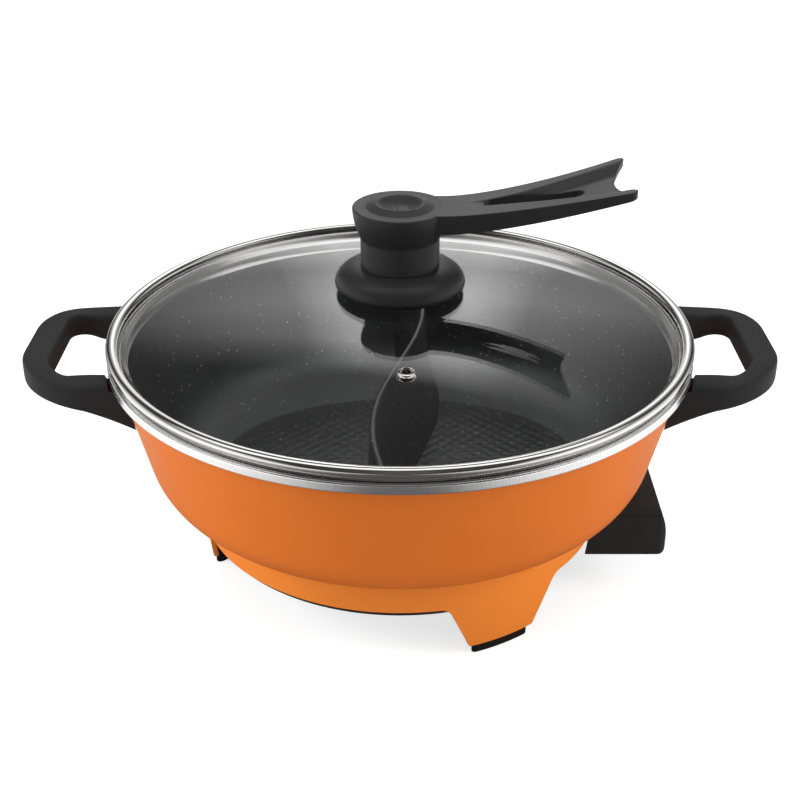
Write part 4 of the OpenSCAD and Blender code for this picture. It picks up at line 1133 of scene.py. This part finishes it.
@dataclass
class Lid:
    """The glass lid: dome, steel ring and steam vent.

    Args:
        pan: the pan that it lies on.
        bead_h: height of the ring's bead.
        bead_w: width of the ring's bead.
        bead_turn: angles where the bead starts inside and ends below, in degrees.
        foot_h: height of the recessed foot below the bead.
        lip_h: depth of the lip inside the pan.
        shelf_w: width of the slope on top of the lip.
        shelf_drop: depth of that slope's upper edge below the seat.
        shelf_rake: fall of that slope for each millimetre of its width.
        glass_t: thickness of the glass.
        dome_h: rise of the dome above its edge.
        glass_drop: depth of the glass's edge below the ring's top.
        vent_r: distance of the vent from the axis.
        vent_angle: direction of the vent, in radians.
        vent_bore: width of the vent's hole.
        vent_d: width of the vent's flange.
        gap: clearance round the glass.
        ring_steps: columns round the ring.
    """

    pan: Pan
    bead_h: float = 5.5
    bead_w: float = 6.3
    bead_turn: Span = (195.0, -80.0)
    foot_h: float = 2.2
    lip_h: float = 4.0
    shelf_w: float = 2.8
    shelf_drop: float = 0.4
    shelf_rake: float = 0.7
    glass_t: float = 3.6
    dome_h: float = 25.9
    glass_drop: float = 3.4
    vent_r: float = 91.5
    vent_angle: float = math.radians(-88.0)
    vent_bore: float = 4.4
    vent_d: float = 9.7
    gap: float = 0.15
    ring_steps: int = 320

    def __post_init__(self) -> None:
        """Works out the dome's sphere from the ring in the frame."""
        _, high = node_box("lid_ring")
        self.ring_r = high[1]
        self.seat_z = self.pan.rim_z + 2.0 * self.gap
        self.bead_z = self.seat_z + self.foot_h
        self.ring_top = self.bead_z + self.bead_h
        self.glass_r = self.ring_r - self.bead_h
        self.dome_r = (self.glass_r**2 + self.dome_h**2) / (2.0 * self.dome_h)
        self.dome_z = self.ring_top - self.glass_drop + self.dome_h - self.dome_r
        self.crown_z = self.dome_z + self.dome_r

    def glass_top(self, r: Points | float) -> Points | float:
        """Height of the dome's outer sphere at radius r."""
        return self.dome_z + np.sqrt(self.dome_r**2 - r**2)

    def glass_under(self, r: Points | float) -> Points | float:
        """Height of the dome's inner sphere at radius r."""
        return self.dome_z + np.sqrt((self.dome_r - self.glass_t) ** 2 - r**2)

    def build_glass(self, finishes: Finishes) -> None:
        """Two spheres over a plan of nested circles that grow from the vent's hole to the edge."""
        angle = ring_angles(200)
        circle = np.stack([np.cos(angle), np.sin(angle)], axis=1)
        vent = self.vent_r * np.array([math.cos(self.vent_angle), math.sin(self.vent_angle)])
        hole = vent + (self.vent_d / 2.0 - 0.9) * circle
        share = np.linspace(0.0, 1.0, 60)[:, None, None]
        plan = hole * (1.0 - share) + self.glass_r * circle * share
        r = np.linalg.norm(plan, axis=-1)
        over = np.concatenate([plan, self.glass_top(r)[..., None]], axis=-1)
        under = np.concatenate([plan, self.glass_under(r)[..., None]], axis=-1)
        grid = np.concatenate([over, under[::-1]])
        dress = Dress(Body.LID, Slot.GLASS, [finishes.glass], ("lid_glass",), sharp=45.0)
        build_piece("glass_dome", [Patch(grid, wrap_rows=True, wrap_columns=True)], dress)

    def build_ring(self, finishes: Finishes) -> None:
        """Revolves the ring: an oval bead over the glass's edge, a recessed foot and a rolled lip."""
        bead_z = self.bead_z + self.bead_h / 2.0
        mid_r = self.ring_r - self.bead_w / 2.0
        turn = np.radians(np.linspace(*self.bead_turn, 34))
        bead = np.stack(
            [mid_r + self.bead_w / 2.0 * np.cos(turn), bead_z + self.bead_h / 2.0 * np.sin(turn)], axis=1)
        edge = self.glass_r + self.gap
        foot_r = self.ring_r - self.bead_h / 2.0
        lip_r = self.pan.cavity_r(self.seat_z - self.lip_h) - 2.0 * self.gap - 0.3
        lip_z = self.seat_z - self.lip_h
        wall_r = lip_r - 0.1
        under = self.glass_under(wall_r) - self.gap
        roll_r = self.shelf_w / 2.0
        roll = arc(lip_r - roll_r, lip_z + roll_r, roll_r, 0.0, -180.0, 14)
        shelf_z = self.seat_z - self.shelf_drop
        foot = fillet_line(
            [tuple(bead[-1]), (foot_r, self.seat_z + 0.3), (foot_r, self.seat_z),
             (self.pan.cavity_r(self.seat_z) - 2.0 * self.gap, self.seat_z), tuple(roll[0])],
            [0.3, 0.2, 0.5], 4)
        shelf_foot = (lip_r - self.shelf_w, shelf_z - self.shelf_rake * self.shelf_w)
        shelf = fillet_line([tuple(roll[-1]), shelf_foot, (wall_r, shelf_z)], [0.3], 4)
        inside = fillet_line(
            [(wall_r, shelf_z), (wall_r, under), (edge, self.glass_under(self.glass_r) - self.gap),
             (edge, self.glass_top(self.glass_r) + self.gap), tuple(bead[0])],
            [0.1, 0.1, 0.1], 3)
        shell = np.concatenate([bead, foot[1:-1], roll, shelf[1:]])
        # The ring's inside takes the darker steel, which is painted shade.
        patches = [spin(shell, self.ring_steps), spin(inside, self.ring_steps, finish=1)]
        materials = [finishes.polished, finishes.seat]
        dress = Dress(Body.LID, Slot.POLISHED, materials, ("lid_ring",), sharp=50.0)
        build_piece("steel_ring", patches, dress)

    def build_vent(self, finishes: Finishes) -> None:
        """Revolves the vent's eyelet and lays it square on the dome."""
        bore, flange, shank = self.vent_bore / 2.0, self.vent_d / 2.0, self.vent_d / 2.0 - 1.0
        under = -self.glass_t - 0.1
        foot = -self.glass_t - 1.2
        profile = fillet_line(
            [(bore, 0.0), (bore, 1.0), (bore + 0.9, 1.75), (flange - 0.6, 1.5), (flange, 0.1), (shank, 0.1),
             (shank, under), (flange, under), (flange, foot), (bore, foot), (bore, 0.0)],
            [0.3, 0.4, 0.6, 0.2, 0.1, 0.1, 0.2, 0.4, 0.3], 4)
        local = revolve(profile[:-1], 48)
        turn, lean = self.vent_angle, math.asin(self.vent_r / self.dome_r)
        cosine, sine = math.cos(lean), math.sin(lean)
        about_y = np.array([[cosine, 0, sine], [0, 1, 0], [-sine, 0, cosine]])
        cosine, sine = math.cos(turn), math.sin(turn)
        about_z = np.array([[cosine, -sine, 0], [sine, cosine, 0], [0, 0, 1]])
        base = np.array([self.vent_r, 0.0, self.glass_top(self.vent_r)])
        grid = (local @ about_y.T + base) @ about_z.T
        dress = Dress(Body.LID, Slot.POLISHED, [finishes.polished], ("vent_eyelet",), sharp=50.0)
        build_piece("vent_ring", [Patch(grid, wrap_rows=True, wrap_columns=True)], dress)

    def build(self, finishes: Finishes) -> None:
        """Builds the glass, the ring and the vent."""
        self.build_glass(finishes)
        self.build_ring(finishes)
        self.build_vent(finishes)


@dataclass
class Knob:
    """The lid's knob: flange, stem with a long arm, and a dished cap.

    Args:
        lid: the lid that it stands on.
        brim: height of the flange's brim above the crown.
        stem_r: radius of the stem.
        cap_h: rise of the cap above the top disc.
        dish_r: radius of the dish in the cap.
        dish_h: depth of that dish.
        shoulder_h: height over which the stem swells to the top disc.
        arm_start: distance from the axis where the arm's sides start.
        arm_root_w: width of the arm at the stem.
        arm_tip_w: width across the prongs.
        arm_root_t: thickness of the arm at the stem.
        arm_tip_t: thickness of the arm at its tip.
        notch: depth of the crescent notch.
        prong_r: corner radius of the prongs in plan.
        slot_start: distance of the slot's near end from the axis.
        slot_l: length of the slot.
        slot_w: width of the slot at its middle.
        slot_end_w: width of the slot at its ends.
        rail_w: width of the arm's rails beside the scoop.
        curl: power of the arm's rise.
        flare: power of the arm's widening and thinning.
        trough: depth of the scoop along the arm.
        sink: how far the arm's root lies below the top disc's rim.
        steps: columns round the flange and the stem.
        cap_steps: columns round the cap.
    """

    lid: Lid
    brim: float = 3.0
    stem_r: float = 21.5
    cap_h: float = 2.0
    dish_r: float = 11.4
    dish_h: float = 3.2
    shoulder_h: float = 17.0
    arm_start: float = 15.0
    arm_root_w: float = 33.0
    arm_tip_w: float = 59.4
    arm_root_t: float = 10.4
    arm_tip_t: float = 4.4
    notch: float = 8.0
    prong_r: float = 4.0
    slot_start: float = 45.0
    slot_l: float = 53.0
    slot_w: float = 13.8
    slot_end_w: float = 8.8
    rail_w: float = 7.5
    curl: float = 1.45
    flare: float = 1.6
    trough: float = 4.0
    sink: float = -0.04
    steps: int = 128
    cap_steps: int = 96

    def __post_init__(self) -> None:
        """Takes the arm's reach and the knob's radii and levels from the frame."""
        low, high = node_box("knob_handle")
        _, flange = node_box("knob_flange")
        _, cap = node_box("knob_cap")
        self.arm_reach, self.arm_tip_z, self.top_r = high[0], high[2], -low[0]
        self.flange_r, self.flange_z = flange[0], flange[2]
        self.cap_r, self.top_z = cap[0], cap[2] - 0.4

    def build_flange(self, finishes: Finishes) -> None:
        """Revolves the flange: a rounded brim on the glass, then a quarter ellipse up to the stem."""
        foot_r = self.flange_r - 2.6
        foot = self.lid.glass_top(foot_r) + 0.3
        crown = self.lid.glass_top(0.0) + 0.3
        side_z = self.lid.crown_z + self.brim
        under = fillet_line(
            [(0.0, crown), (foot_r, foot), (self.flange_r - 0.05, side_z - 1.2), (self.flange_r, side_z)],
            [0.6, 1.6], 5)
        turn = np.radians(np.linspace(0.0, 90.0, 24))[1:]
        collar_r = self.stem_r - 0.5
        wide, high = self.flange_r - collar_r, self.flange_z - side_z
        over = np.stack([collar_r + wide * np.cos(turn), side_z + high * np.sin(turn)], axis=1)
        profile = np.concatenate([under, over, [[0.0, self.flange_z]]])
        dress = Dress(Body.LID, Slot.BLACK, [finishes.glossy_black], ("knob_flange",), sharp=45.0)
        build_piece("knob_brim", [spin(profile, self.steps)], dress)

    def stem_line(self) -> Points:
        """The stem's profile: straight, then a shoulder, the top disc and the cap's seat.

        The shoulder's radius is the top disc's, less a part that grows as depth^1.9.
        """
        base, top = self.flange_z + 0.05, self.top_z
        deep = np.linspace(1.0, 0.12, 16)
        shoulder = np.stack(
            [self.top_r - (self.top_r - self.stem_r) * deep**1.9, top - self.shoulder_h * deep], axis=1)
        foot = fillet_line([(0.0, base), (self.stem_r, base), (self.stem_r, base + 2.0)], [0.3], 4)
        neck = np.array([[self.stem_r, top - self.shoulder_h - 1.0]])
        rim = fillet_line(
            [tuple(shoulder[-1]), (self.top_r, top), (self.cap_r + 0.06, top), (self.cap_r + 0.05, top - 1.6),
             (0.0, top - 1.6)],
            [0.9, 0.02, 0.1], 6)
        return np.concatenate([foot, neck, shoulder[:-1], rim])

    def arm_share(self, x: Points | float) -> Points | float:
        """How far along the arm x is, from 0 at the top disc to 1 at the prongs."""
        return np.clip((x - self.top_r) / (self.arm_reach - self.top_r), 0.0, 1.0)

    def arm_half_w(self, x: Points | float) -> Points | float:
        """Half width of the arm: it widens as a power of the share."""
        return (self.arm_root_w + (self.arm_tip_w - self.arm_root_w) * self.arm_share(x) ** self.flare) / 2.0

    def arm_crest(self, x: Points) -> Points:
        """Height of the arm's rails: they rise as a power of the share."""
        root_z = self.top_z - self.sink
        return root_z + (self.arm_tip_z - root_z) * self.arm_share(x) ** self.curl

    def arm_top(self, x: Points, y: Points) -> Points:
        """The arm's upper face: a scoop between the rails deepens and widens outwards, as the rails narrow.

        Under the cap the face drops away.
        """
        share = self.arm_share(x)
        under_cap = 1.2 * (1.0 - smoothstep(self.cap_r + 0.2, self.cap_r + 1.0, np.hypot(x, y)))
        rail = self.rail_w * (1.0 - 0.5 * smoothstep(0.6, 1.0, share))
        reach = 4.0 + (self.arm_half_w(x) - rail - 4.0) * smoothstep(0.05, 0.72, share)
        across = smoothstep(0.0, 0.6, (reach - np.abs(y)) / reach)
        depth = self.trough * smoothstep(0.08, 0.5, share)
        return self.arm_crest(x) - depth * across - under_cap

    def arm_under(self, x: Points, y: Points) -> Points:
        """The arm's lower face: the crest less a thickness that tapers, with a slight belly."""
        share = self.arm_share(x)
        root_t = self.arm_root_t - self.sink
        thick = root_t + (self.arm_tip_t - root_t) * share**self.flare
        inward = smoothstep(0.0, 0.7, 1.0 - np.abs(y) / self.arm_half_w(x))
        belly = 0.55 * self.trough * smoothstep(0.3, 0.7, share) * inward
        return self.arm_crest(x) - thick - belly

    def arm_outlines(self) -> tuple[Points, Points]:
        """Matching points on the slot's outline and on the arm's outline, both in plan."""
        along, round_end = 44, 25
        half = self.slot_end_w / 2.0
        near, far = self.slot_start + half, self.slot_start + self.slot_l - half
        bow = (self.slot_w - self.slot_end_w) / 2.0 * np.sin(np.linspace(0.0, math.pi, along))
        slot_side = np.stack([np.linspace(near, far, along), -half - bow], axis=1)
        slot_far = arc(far, 0.0, half, -90.0, 90.0, round_end)[1:-1]
        slot_near = arc(near, 0.0, half, 90.0, 270.0, round_end)[1:-1]
        corner = self.prong_r * np.sin(np.linspace(0.0, 0.5 * math.pi, 9))
        straight = np.linspace(self.arm_start, self.arm_reach - self.prong_r, along - 8)
        arm_x = np.concatenate([straight, self.arm_reach - self.prong_r + corner[1:]])
        cut = np.concatenate([np.zeros(along - 8), self.prong_r - np.sqrt(self.prong_r**2 - corner[1:] ** 2)])
        arm_side = np.stack([arm_x, cut - self.arm_half_w(arm_x)], axis=1)
        tip_w = self.arm_tip_w - 2.0 * self.prong_r
        tip_y = np.linspace(-0.5, 0.5, round_end)[1:-1] * tip_w
        tip = np.stack([self.arm_reach - self.notch * np.cos(math.pi * tip_y / tip_w), tip_y], axis=1)
        root = arc(self.arm_start, 0.0, self.arm_half_w(self.arm_start), 90.0, 270.0, round_end)[1:-1]
        slot = np.concatenate([slot_side, slot_far, slot_side[::-1] * FLIP_Y, slot_near])
        arm = np.concatenate([arm_side, tip, arm_side[::-1] * FLIP_Y, root])
        return slot, arm

    def arm_patches(self) -> list[Patch]:
        """The arm's upper and lower face between the slot and the outline, and the walls that join them."""
        slot, arm = self.arm_outlines()

        def face(height: object, rows: int) -> Points:
            """A face whose plan runs from the slot to the outline, lifted to the given height."""
            share = np.linspace(0.0, 1.0, rows)[:, None, None]
            plan = slot * (1.0 - share) + arm * share
            return np.concatenate([plan, height(plan[..., 0], plan[..., 1])[..., None]], axis=-1)

        over, under = face(self.arm_top, 26), face(self.arm_under, 12)
        share = np.linspace(0.0, 1.0, 4)[:, None, None]
        walls = [over[end] * (1.0 - share) + under[end] * share for end in (0, -1)]
        return [Patch(grid, wrap_columns=True) for grid in (over, under, *walls)]

    def build_handle(self, finishes: Finishes) -> None:
        """Builds the stem and the arm as one moulding."""
        patches = [spin(self.stem_line(), self.steps), *self.arm_patches()]
        dress = Dress(Body.LID, Slot.BLACK, [finishes.glossy_black], ("knob_handle",), bevel=1.4, sharp=48.0)
        build_piece("knob_arm", patches, dress)

    def build_cap(self, finishes: Finishes) -> None:
        """Revolves the cap: a raised pad with a dish in its middle."""
        base, top = self.top_z - 1.5, self.top_z + self.cap_h
        dish = np.linspace(1.0, 0.0, 12)
        rim = fillet_line(
            [(0.0, base), (self.cap_r, base), (self.cap_r, self.top_z), (self.cap_r - 1.4, self.top_z),
             (self.dish_r + 1.6, top), (self.dish_r, top - 0.5)],
            [0.2, 0.02, 1.6, 1.5], 6)
        bowl = np.stack([self.dish_r * dish, top - 0.5 - self.dish_h * (1.0 - dish**2)], axis=1)
        profile = np.concatenate([rim, bowl[1:]])
        dress = Dress(Body.LID, Slot.BLACK, [finishes.glossy_black], ("knob_cap",), sharp=50.0)
        build_piece("knob_button", [spin(profile, self.cap_steps)], dress)

    def build(self, finishes: Finishes) -> None:
        """Builds the flange, the handle and the cap."""
        self.build_flange(finishes)
        self.build_handle(finishes)
        self.build_cap(finishes)


# The control box


@dataclass
class ControlBox:
    """The control box under one handle, with its dial, lamp and mains inlet.

    Args:
        flutes: grip flutes round the dial.
        flute_h: depth of a flute.
        bar_h: height of the grip bar on the dial, with its pointer.
        pointer_h: how far the pointer stands out from the bar.
        lens_inset: how far the lamp's lens ends short of its node.
        lens_flange: width of the lens's flange.
    """

    flutes: int = 24
    flute_h: float = 0.45
    bar_h: float = 1.8
    pointer_h: float = 0.12
    lens_inset: float = 0.6
    lens_flange: float = 1.0

    def build_dial(self, finishes: Finishes) -> None:
        """A fluted disc with a grip bar across its face, and a painted pointer on the bar."""
        low, high = node_box("dial_knob")
        axis_z, radius = (low[2] + high[2]) / 2.0, high[1]
        back, bar_end = low[0], high[0]
        face, bar_top = bar_end - self.bar_h, bar_end - self.pointer_h
        profile = fillet_line(
            [(back, 0.0), (back, radius), (face, radius), (face, 6.0), (face - 0.5, 0.0)], [0.5, 1.0, 3.0], 6)
        grid = revolve_x(profile, self.flutes * 8, axis_z)
        angle = ring_angles(self.flutes * 8)[:, None]
        wave = self.flute_h * (0.5 + 0.5 * np.cos(self.flutes * angle))
        rim = smoothstep(radius - 1.6, radius - 0.4, profile[None, :, 1])
        scale = 1.0 - wave * rim / radius
        grid[..., 1] *= scale
        grid[..., 2] = axis_z + (grid[..., 2] - axis_z) * scale
        section = superellipse(40, 4.0) * np.array([2.0, radius - 1.2])
        along = np.array([face - 1.5, face + 0.9, bar_top - 0.35, bar_top - 0.08, bar_top])
        shrink = np.array([1.06, 1.0, 0.93, 0.82, 0.6])
        bar = np.stack(np.broadcast_arrays(
            along[:, None], section[:, 0] * shrink[:, None],
            axis_z + section[:, 1] * (0.5 + 0.5 * shrink[:, None])), axis=-1)
        patches = [Patch(grid, wrap_rows=True), tube(bar)]
        dress = Dress(Body.DIAL, Slot.BLACK, [finishes.black], ("dial_knob",), sharp=40.0)
        build_piece("dial", patches, dress)
        stripe = superellipse(24, 5.0) * np.array([0.45, 2.2]) + np.array([0.0, axis_z + radius - 4.6])
        depth = np.array([bar_end - 0.7, bar_end - 0.02])
        mark = np.stack(np.broadcast_arrays(depth[:, None], stripe[:, 0], stripe[:, 1]), axis=-1)
        dress = Dress(Body.DIAL, Slot.BLACK, [finishes.mark])
        build_piece("dial_pointer", [tube(mark)], dress)

    def build_lamp(self, finishes: Finishes) -> None:
        """Revolves the indicator lamp's lens: a barrel with a domed end."""
        low, high = node_box("lamp_lens")
        axis_y, axis_z = (low[1] + high[1]) / 2.0, (low[2] + high[2]) / 2.0
        back, tip = low[0], high[0] - self.lens_inset
        flange = (high[1] - low[1]) / 2.0
        barrel = flange - self.lens_flange
        profile = fillet_line(
            [(back, 0.0), (back, flange), (back + 2.0, flange), (back + 2.0, barrel), (tip - 0.9, barrel),
             (tip, barrel * 0.55), (tip, 0.0)], [0.2, 0.2, 0.1, 0.4, 0.9], 5)
        grid = revolve_x(profile, 48, axis_z, axis_y)
        dress = Dress(Body.COOKER, Slot.LENS, [finishes.lens], ("lamp_lens",), sharp=50.0)
        build_piece("lamp_dome", [Patch(grid, wrap_rows=True)], dress)

    def build(self, finishes: Finishes) -> None:
        """Rounds the housing's edges and builds the dial and the lamp."""
        for node, name, bevel, sharp in (
                ("control_tray", "box_tray", 0.7, 32.0), ("control_cover", "box_cover", 1.0, 32.0),
                ("mains_inlet", "inlet_socket", 0.4, 40.0)):
            soften_node(node, name, Dress(Body.COOKER, Slot.BLACK, [finishes.black], (node,), bevel, sharp))
        self.build_dial(finishes)
        self.build_lamp(finishes)


# The studio


@dataclass
class Studio:
    """A pale floor, soft light and the camera at the photo's angle.

    Args:
        eye: the camera's place, in metres.
        pitch: its turn about X, in degrees.
        lens: its focal length on a 36 mm sensor.
        ambient: strength of the even light from all round.
        dim: the least light in reflections.
        patch_x: sideways place of the bright patch at the back.
        patch_ends: how far the patch's core and its haze reach to each side.
        patch_lean: slant of the patch's lower edge.
        patch_light: strength of the patch.
        side_light: strength of the glow at each side.
        strip_light: strength of the strip overhead.
        floor_shade: the floor's own grey.
        floor_light: how much the floor shines for the eye.
        floor_half: half width of the floor, in metres.
    """

    eye: tuple[float, float, float] = (0.0, -0.6866, 0.4638)
    pitch: float = 62.12
    lens: float = 60.73
    ambient: float = 0.5
    dim: float = 0.05
    patch_x: float = 0.02
    patch_ends: Span = (0.2, 0.48)
    patch_lean: float = 0.25
    patch_light: float = 1.9
    side_light: float = 1.1
    strip_light: float = 1.5
    floor_shade: float = 0.65
    floor_light: float = 0.68
    floor_half: float = 4.0

    def build_camera(self) -> None:
        """Places the camera."""
        data = bpy.data.cameras.new("Camera")
        data.lens, data.sensor_width = self.lens, 36.0
        data.clip_start = 0.01
        camera = bpy.data.objects.new("Camera", data)
        camera.location = self.eye
        camera.rotation_euler = (math.radians(self.pitch), 0.0, 0.0)
        bpy.context.scene.collection.objects.link(camera)
        bpy.context.scene.camera = camera

    def seen(self, tree: Tree, light: Node) -> Socket:
        """1 for the eye's own rays and for those that came from it through glass alone, else 0."""
        bounced = tree.math("MAXIMUM", light.outputs["Glossy Depth"], light.outputs["Diffuse Depth"])
        through = tree.times(light.outputs["Is Transmission Ray"], tree.math("LESS_THAN", bounced, 0.5))
        return tree.math("MAXIMUM", light.outputs["Is Camera Ray"], through)

    def build_world(self) -> None:
        """White for the eye and through glass, a studio with a dark front for reflections, even light else.

        The studio that shows in reflections is a soft patch high at the back, which leans and fades to both
        sides, a glow low at each side and a strip overhead that runs from side to side.
        """
        world = bpy.data.worlds.new("Studio")
        bpy.context.scene.world = world
        world.use_nodes = True
        tree = Tree(world.node_tree)
        sky = world.node_tree.nodes["Background"]
        x, y, z = tree.axes(tree.add("ShaderNodeTexCoord").outputs["Generated"])
        across = tree.math("ABSOLUTE", tree.math("SUBTRACT", x, self.patch_x))
        narrow, wide = (tree.remap(across, (0.1, end), (0.5, 0.0)) for end in self.patch_ends)
        lean = tree.math("ADD", y, tree.times(x, self.patch_lean))
        high = tree.remap(lean, (0.645, 0.745), (self.dim, self.patch_light))
        low = tree.remap(y, (0.89, 0.96), (1.0, 0.48))
        back = tree.times(tree.math("ADD", narrow, wide), tree.times(high, low))
        side = tree.times(
            tree.remap(across, (0.6, 0.85), (0.0, self.side_light)), tree.remap(z, (0.15, 0.6), (1.0, 0.0)))
        ahead = tree.math("ABSOLUTE", tree.math("SUBTRACT", y, 0.1))
        over = tree.times(
            tree.remap(ahead, (0.18, 0.29), (self.strip_light, self.dim)), tree.remap(z, (0.55, 0.8), UNIT))
        glow = tree.math("ADD", tree.math("ADD", back, side), tree.math("MAXIMUM", over, self.dim))
        light = tree.add("ShaderNodeLightPath")
        room = tree.blend(light.outputs["Is Glossy Ray"], rgba((self.ambient,) * 3), glow)
        tree.feed(tree.blend(self.seen(tree, light), room, WHITE), sky.inputs["Color"])
        sky.inputs["Strength"].default_value = 1.0

    def build_floor(self) -> None:
        """A pale floor that looks white and keeps the object's shadow."""
        material = bpy.data.materials.new("Floor")
        material.use_nodes = True
        tree = Tree(material.node_tree)
        shader = material.node_tree.nodes["Principled BSDF"]
        shader.inputs["Roughness"].default_value = 0.9
        shader.inputs["Specular IOR Level"].default_value = 0.0
        light = tree.add("ShaderNodeLightPath")
        x, _, _ = tree.axes(tree.place())
        aside = tree.remap(tree.math("ABSOLUTE", x), (0.08, 0.4), (0.1, 1.1))
        shade = tree.blend(light.outputs["Is Glossy Ray"], rgba((self.floor_shade,) * 3), aside)
        tree.feed(shade, shader.inputs["Base Color"])
        shader.inputs["Emission Color"].default_value = WHITE
        tree.feed(tree.times(self.seen(tree, light), self.floor_light), shader.inputs["Emission Strength"])
        reach = self.floor_half
        mesh = bpy.data.meshes.new("Floor")
        mesh.from_pydata([(-reach, -reach, 0), (reach, -reach, 0), (reach, reach, 0), (-reach, reach, 0)], [],
                         [(0, 1, 2, 3)])
        mesh.materials.append(material)
        put_on_stage("floor", mesh)

    def add_light(self, name: str, place: tuple[float, float, float], size: float, power: float) -> None:
        """A square soft light that faces the object and shows in no reflection."""
        data = bpy.data.lights.new(name, "AREA")
        data.shape, data.size, data.energy = "SQUARE", size, power
        light = bpy.data.objects.new(name, data)
        light.location = place
        light.rotation_euler = (-light.location).to_track_quat("-Z", "Y").to_euler()
        light.visible_glossy = light.visible_transmission = False
        bpy.context.scene.collection.objects.link(light)

    def build(self) -> None:
        """Builds the whole studio."""
        bpy.context.scene.view_settings.view_transform = "Standard"
        self.build_camera()
        self.build_world()
        self.build_floor()
        self.add_light("Top softbox", (0.1, 0.25, 1.5), 1.2, 6.5)
        self.add_light("Left softbox", (-1.45, -0.4, 0.85), 0.9, 16.0)
        self.add_light("Right softbox", (1.45, -0.35, 0.8), 0.8, 13.5)


def main() -> None:
    """Builds the sub-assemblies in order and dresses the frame."""
    logging.basicConfig(level=logging.INFO, format="%(message)s")
    Studio().build()
    pan = Pan()
    finishes = Finishes(pan.divider_top, pan.floor_z)
    finishes.dress_frame()
    pan.build_bowl(finishes)
    pan.build_divider(finishes)
    Base().build(finishes)
    handle = Handle(pan)
    for name, turned in (("right", False), ("left", True)):
        handle.build(name, turned, finishes)
    lid = Lid(pan)
    lid.build(finishes)
    Knob(lid).build(finishes)
    ControlBox().build(finishes)
    bpy.context.view_layer.update()


if __name__ == "__main__":
    main()
